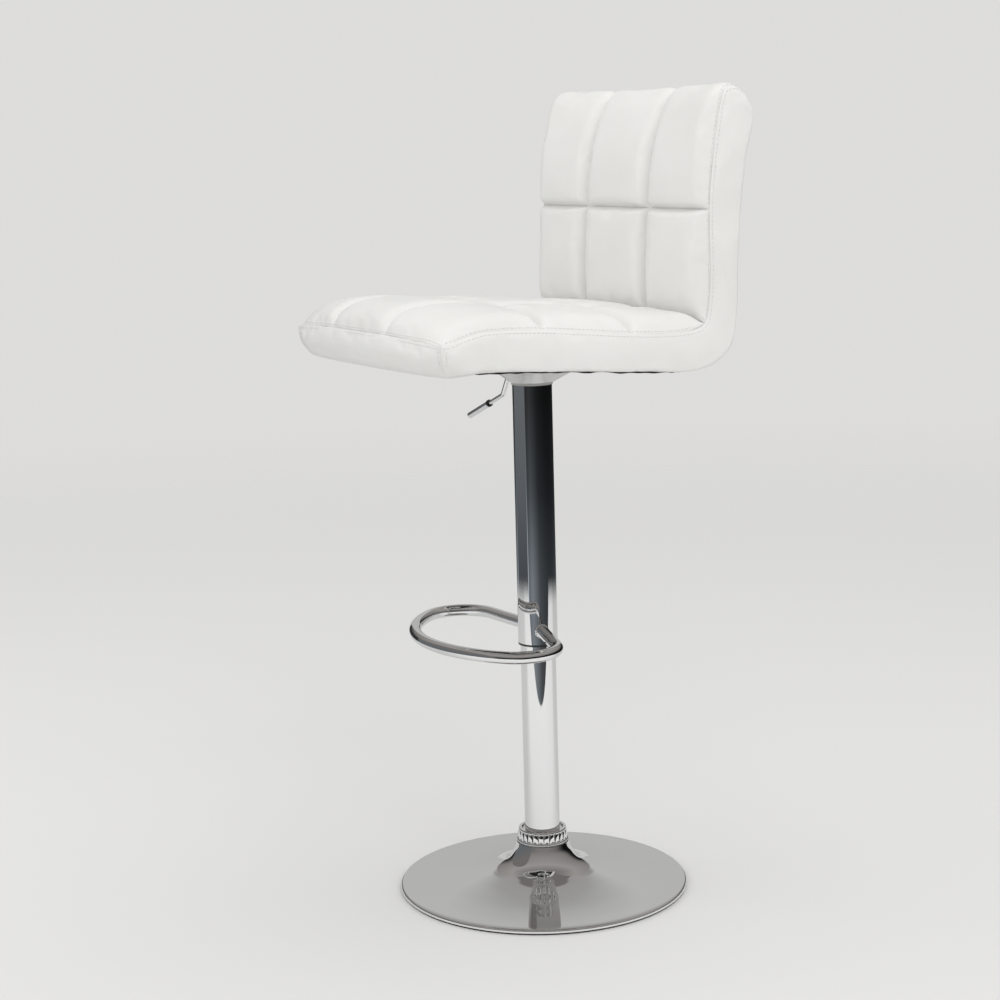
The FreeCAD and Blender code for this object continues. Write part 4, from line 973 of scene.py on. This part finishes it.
# What chrome sees, from the lowest direction up: the backdrop behind the stool, the room on the camera's
# side, darker beyond the paper, and the grey far left of it.
BACKDROP = [
    (0.0, (0.42, 0.42, 0.415)), (level(0.24), (0.50, 0.50, 0.49)), (level(0.42), (0.52, 0.515, 0.50)),
    (level(0.60), (0.36, 0.355, 0.345)), (level(BACKDROP_TOP), (0.34, 0.33, 0.32)),
    (level(BACKDROP_TOP + 0.02), (0.17, 0.16, 0.152)),
]
IN_FRONT = [
    (0.0, (0.20, 0.215, 0.23)), (level(-0.21), (0.17, 0.19, 0.21)), (level(-0.165), (0.060, 0.068, 0.075)),
    (level(-0.12), (0.030, 0.031, 0.032)), (level(0.08), (0.03, 0.03, 0.03)),
    (level(0.3), (0.23, 0.218, 0.208)), (level(0.7), (0.34, 0.325, 0.312)), (level(0.95), (0.20, 0.19, 0.18)),
]
GREY_SIDE = [
    (0.0, (0.045, 0.05, 0.058)), (level(-0.21), (0.065, 0.072, 0.082)),
    (level(-0.165), (0.115, 0.125, 0.135)),
    (level(-0.12), (0.135, 0.145, 0.155)), (level(0.12), (0.135, 0.145, 0.155)),
    (level(0.35), (0.17, 0.16, 0.153)),
]
# The low part of the room is brighter to the left and darker to the right.
LOW_ONLY = [(level(0.1), 1.0), (level(0.2), 0.0)]
LEFTWARD = [(0.0, 0.18), (0.33, 0.38), (0.7, 1.15), (0.84, 0.8), (0.855, 1.0), (0.862, 3.4), (1.0, 3.4)]
# Where the grey side begins, where the room gives way to the backdrop, and where the backdrop's sides are.
GREY_FROM = [(0.868, 0.0), (0.88, 1.0)]
ROOM_FROM = [(0.49, 0.0), (0.51, 1.0)]
BESIDE_BACKDROP = [
    (BACKDROP_LEFT - 0.01, 1.0), (BACKDROP_LEFT, 0.0), (BACKDROP_RIGHT, 0.0), (BACKDROP_RIGHT + 0.01, 1.0),
]


def stretched(tree, source, low, high, kind="LINEAR"):
    """source with its range from low to high stretched to 0 to 1."""
    node = new_node(tree, "MapRange")
    node.interpolation_type = kind
    node.inputs["From Min"].default_value = low
    node.inputs["From Max"].default_value = high
    tree.links.new(source, node.inputs["Value"])
    return node.outputs["Result"]


def part_along(tree, place, direction):
    """How far place lies along direction."""
    node = new_node(tree, "VectorMath")
    node.operation = "DOT_PRODUCT"
    node.inputs[1].default_value = direction
    tree.links.new(place, node.inputs[0])
    return node.outputs["Value"]


def blended(tree, kind, share, first, second):
    """Two colours mixed, or the first multiplied by the second, to the extent of share."""
    node = new_node(tree, "MixRGB")
    node.blend_type = kind
    tree.links.new(share, node.inputs["Fac"])
    if isinstance(first, tuple):
        node.inputs["Color1"].default_value = (*first, 1)
    else:
        tree.links.new(first, node.inputs["Color1"])
    tree.links.new(second, node.inputs["Color2"])
    return node.outputs["Color"]


def mixed_shader(tree, share, first, second):
    node = new_node(tree, "MixShader")
    for socket, source in zip(node.inputs, (share, first, second)):
        tree.links.new(source, socket)
    return node.outputs["Shader"]


def floor(right, toward):
    """A pale floor that fades into the pale surroundings, and that chrome sees as a sheet of paper."""
    size = FLOOR_SIZE
    corners = [(-size, -size, 0), (size, -size, 0), (size, size, 0), (-size, size, 0)]
    obj = new_object("studio_floor", corners, [(0, 1, 2, 3)])
    material, tree, _ = new_material("studio_floor")
    tree.nodes.clear()
    place = new_node(tree, "TexCoord").outputs["Object"]
    glossy = new_node(tree, "LightPath").outputs["Is Glossy Ray"]
    behind = new_node(tree, "NewGeometry").outputs["Backfacing"]
    length = new_node(tree, "VectorMath")
    length.operation = "LENGTH"
    tree.links.new(place, length.inputs[0])
    away = length.outputs["Value"]
    ahead = part_along(tree, place, toward * math.cos(PAPER_TURN) + right * math.sin(PAPER_TURN))

    def share(measured, first, last):
        return stretched(tree, measured, first, last, "SMOOTHSTEP")

    def maths(operation, a, b):
        node = new_node(tree, "Math")
        node.operation = operation
        tree.links.new(a, node.inputs[0])
        tree.links.new(b, node.inputs[1])
        return node.outputs[0]

    straight = share(ahead, PAPER_FRONT, PAPER_FRONT + PAPER_FRONT_FADE)
    ended = maths("MAXIMUM", share(away, PAPER_EDGE, PAPER_EDGE + PAPER_EDGE_FADE), straight)
    faded = maths("MAXIMUM", share(away, *FLOOR_FADE), maths("MULTIPLY", ended, glossy))
    gone = maths("MAXIMUM", faded, behind)
    # painted shade: the paper that chrome sees is darker behind the stool, for the shading there
    painted_shade = ramp(tree, share(ahead, -PAPER_SHADE_REACH, PAPER_SHADE_REACH), PAPER_PAINTED_SHADE)
    paint = new_node(tree, "BsdfDiffuse")
    tree.links.new(blended(tree, "MIX", glossy, PAPER_TONE, painted_shade), paint.inputs["Color"])
    clear = new_node(tree, "BsdfTransparent")
    output = new_node(tree, "OutputMaterial")
    mix = mixed_shader(tree, gone, paint.outputs["BSDF"], clear.outputs["BSDF"])
    tree.links.new(mix, output.inputs["Surface"])
    obj.data.materials.append(material)


def seen_by_chrome(tree, right, toward):
    """The lit backdrop behind the stool, and the dim room over it and on the camera's side."""
    place = new_node(tree, "TexCoord").outputs["Generated"]
    split = new_node(tree, "SeparateXYZ")
    tree.links.new(place, split.inputs["Vector"])
    height = stretched(tree, split.outputs["Z"], LOWEST, 1.0)

    def upward(stops):
        return ramp(tree, height, stops)

    def towards(direction, stops):
        part = part_along(tree, place, direction)
        return ramp(tree, stretched(tree, part, -1.0, 1.0), stops)

    dim = blended(tree, "MULTIPLY", upward(LOW_ONLY), upward(IN_FRONT), towards(-right, LEFTWARD))
    room = blended(tree, "MIX", towards(-right, GREY_FROM), dim, upward(GREY_SIDE))
    rear = blended(tree, "MIX", towards(right, BESIDE_BACKDROP), upward(BACKDROP), room)
    return blended(tree, "MIX", towards(toward, ROOM_FROM), rear, room)


def surroundings(right, toward):
    """Even pale light all round, a plain tone for the camera and the studio for chrome."""
    world = bpy.data.worlds.new("studio")
    bpy.context.scene.world = world
    world.use_nodes = True
    tree = world.node_tree
    tree.nodes.clear()
    plain, lit, studio = (new_node(tree, "Background") for _ in range(3))
    plain.inputs["Color"].default_value = (*PALE, 1)
    lit.inputs["Color"].default_value = (*LIT, 1)
    tree.links.new(seen_by_chrome(tree, right, toward), studio.inputs["Color"])
    path = new_node(tree, "LightPath")
    output = new_node(tree, "OutputWorld")
    unseen = mixed_shader(tree, path.outputs["Is Camera Ray"], lit.outputs[0], plain.outputs[0])
    every_ray = mixed_shader(tree, path.outputs["Is Glossy Ray"], unseen, studio.outputs[0])
    tree.links.new(every_ray, output.inputs["Surface"])


# Each softbox's place, the height over the origin that it aims at, its size and its power in watts.
SOFTBOXES = {
    "key": ((2.4, -0.6, 2.6), 0.7, 1.8, 20),
    "fill": ((-1.6, -2.6, 2.2), 0.8, 2.2, 15),
    "top": ((0.2, 0.4, 3.2), 0.5, 2.0, 10),
}
LIGHT_COLOUR = (1.0, 0.995, 0.985)


def softbox(name, place, aim, size, power):
    """A square soft light that chrome doesn't see."""
    data = bpy.data.lights.new(name, "AREA")
    data.shape = "SQUARE"
    data.size = size
    data.energy = power
    data.color = LIGHT_COLOUR
    obj = bpy.data.objects.new(name, data)
    bpy.context.scene.collection.objects.link(obj)
    obj.location = place
    obj.rotation_euler = (Vector((0, 0, aim)) - Vector(place)).to_track_quat("-Z", "Y").to_euler()
    obj.visible_glossy = False


CAMERA_AZIMUTH, CAMERA_DISTANCE, CAMERA_HEIGHT = 1.0397, 2.7358, 0.9967
CAMERA_YAW, CAMERA_PITCH, CAMERA_ROLL = -0.0158, 0.1349, -0.0258
CAMERA_LENS, CAMERA_SENSOR, CAMERA_SHIFT, CAMERA_REACH = 75.71, 36, -0.075, 60


def camera():
    """The photograph's view: from the front left, just under seat-back height. Returns the ways right
    across the picture and back towards the camera."""
    away = Vector((-math.sin(CAMERA_AZIMUTH), math.cos(CAMERA_AZIMUTH), 0))
    right = Vector((math.cos(CAMERA_AZIMUTH), math.sin(CAMERA_AZIMUTH), 0))
    forward = away * math.cos(CAMERA_PITCH) - Vector((0, 0, math.sin(CAMERA_PITCH)))
    aside = right * math.sin(CAMERA_YAW) * math.cos(CAMERA_PITCH)
    forward = (forward * math.cos(CAMERA_YAW) + aside).normalized()
    sideways = forward.cross(Vector((0, 0, 1))).normalized()
    upright = sideways.cross(forward)
    turned = sideways * math.cos(CAMERA_ROLL) + upright * math.sin(CAMERA_ROLL)
    up = upright * math.cos(CAMERA_ROLL) - sideways * math.sin(CAMERA_ROLL)
    data = bpy.data.cameras.new("photo_view")
    data.lens = CAMERA_LENS
    data.sensor_width = CAMERA_SENSOR
    data.shift_y = CAMERA_SHIFT
    data.clip_end = CAMERA_REACH
    obj = bpy.data.objects.new("photo_view", data)
    bpy.context.scene.collection.objects.link(obj)
    axes = Matrix((turned, up, -forward)).transposed().to_4x4()
    place = -away * CAMERA_DISTANCE + Vector((0, 0, CAMERA_HEIGHT))
    obj.matrix_world = Matrix.Translation(place) @ axes
    bpy.context.scene.camera = obj
    return right, -away


# ------------------------ the stool

bpy.context.scene.view_settings.view_transform = "Standard"
finish_cad_nodes()

seat_lines, back_lines = (SEAT_SIDE, SEAT_GROOVE, SEAT_CROWN), (BACK_SIDE, BACK_GROOVE, BACK_CROWN)
seat_pad = quilted_panel(
    "seat_quilt", "seat_cushion", seat_lines, SEAT_STEPS, SEAT_ROWS, SIDE_ROLL, seat_floor
)
back_pad = quilted_panel(
    "back_quilt", "back_cushion", back_lines, BACK_STEPS, BACK_ROWS, BACK_ROLL, back_floor
)
left_band, right_band = side_band("left", 1), side_band("right", -1)
fore_band = front_band()
rear_panel()
side_stitching("left", 1, (seat_pad, back_pad), left_band)
side_stitching("right", -1, (seat_pad, back_pad), right_band)
front_stitching(seat_pad, fore_band, (left_band, right_band))
staples(underside_cover())
base_dish()
tubes()
collar()
footrest_welds()

picture_right, picture_front = camera()
floor(picture_right, picture_front)
surroundings(picture_right, picture_front)
for box_name, settings in SOFTBOXES.items():
    softbox(box_name, *settings)
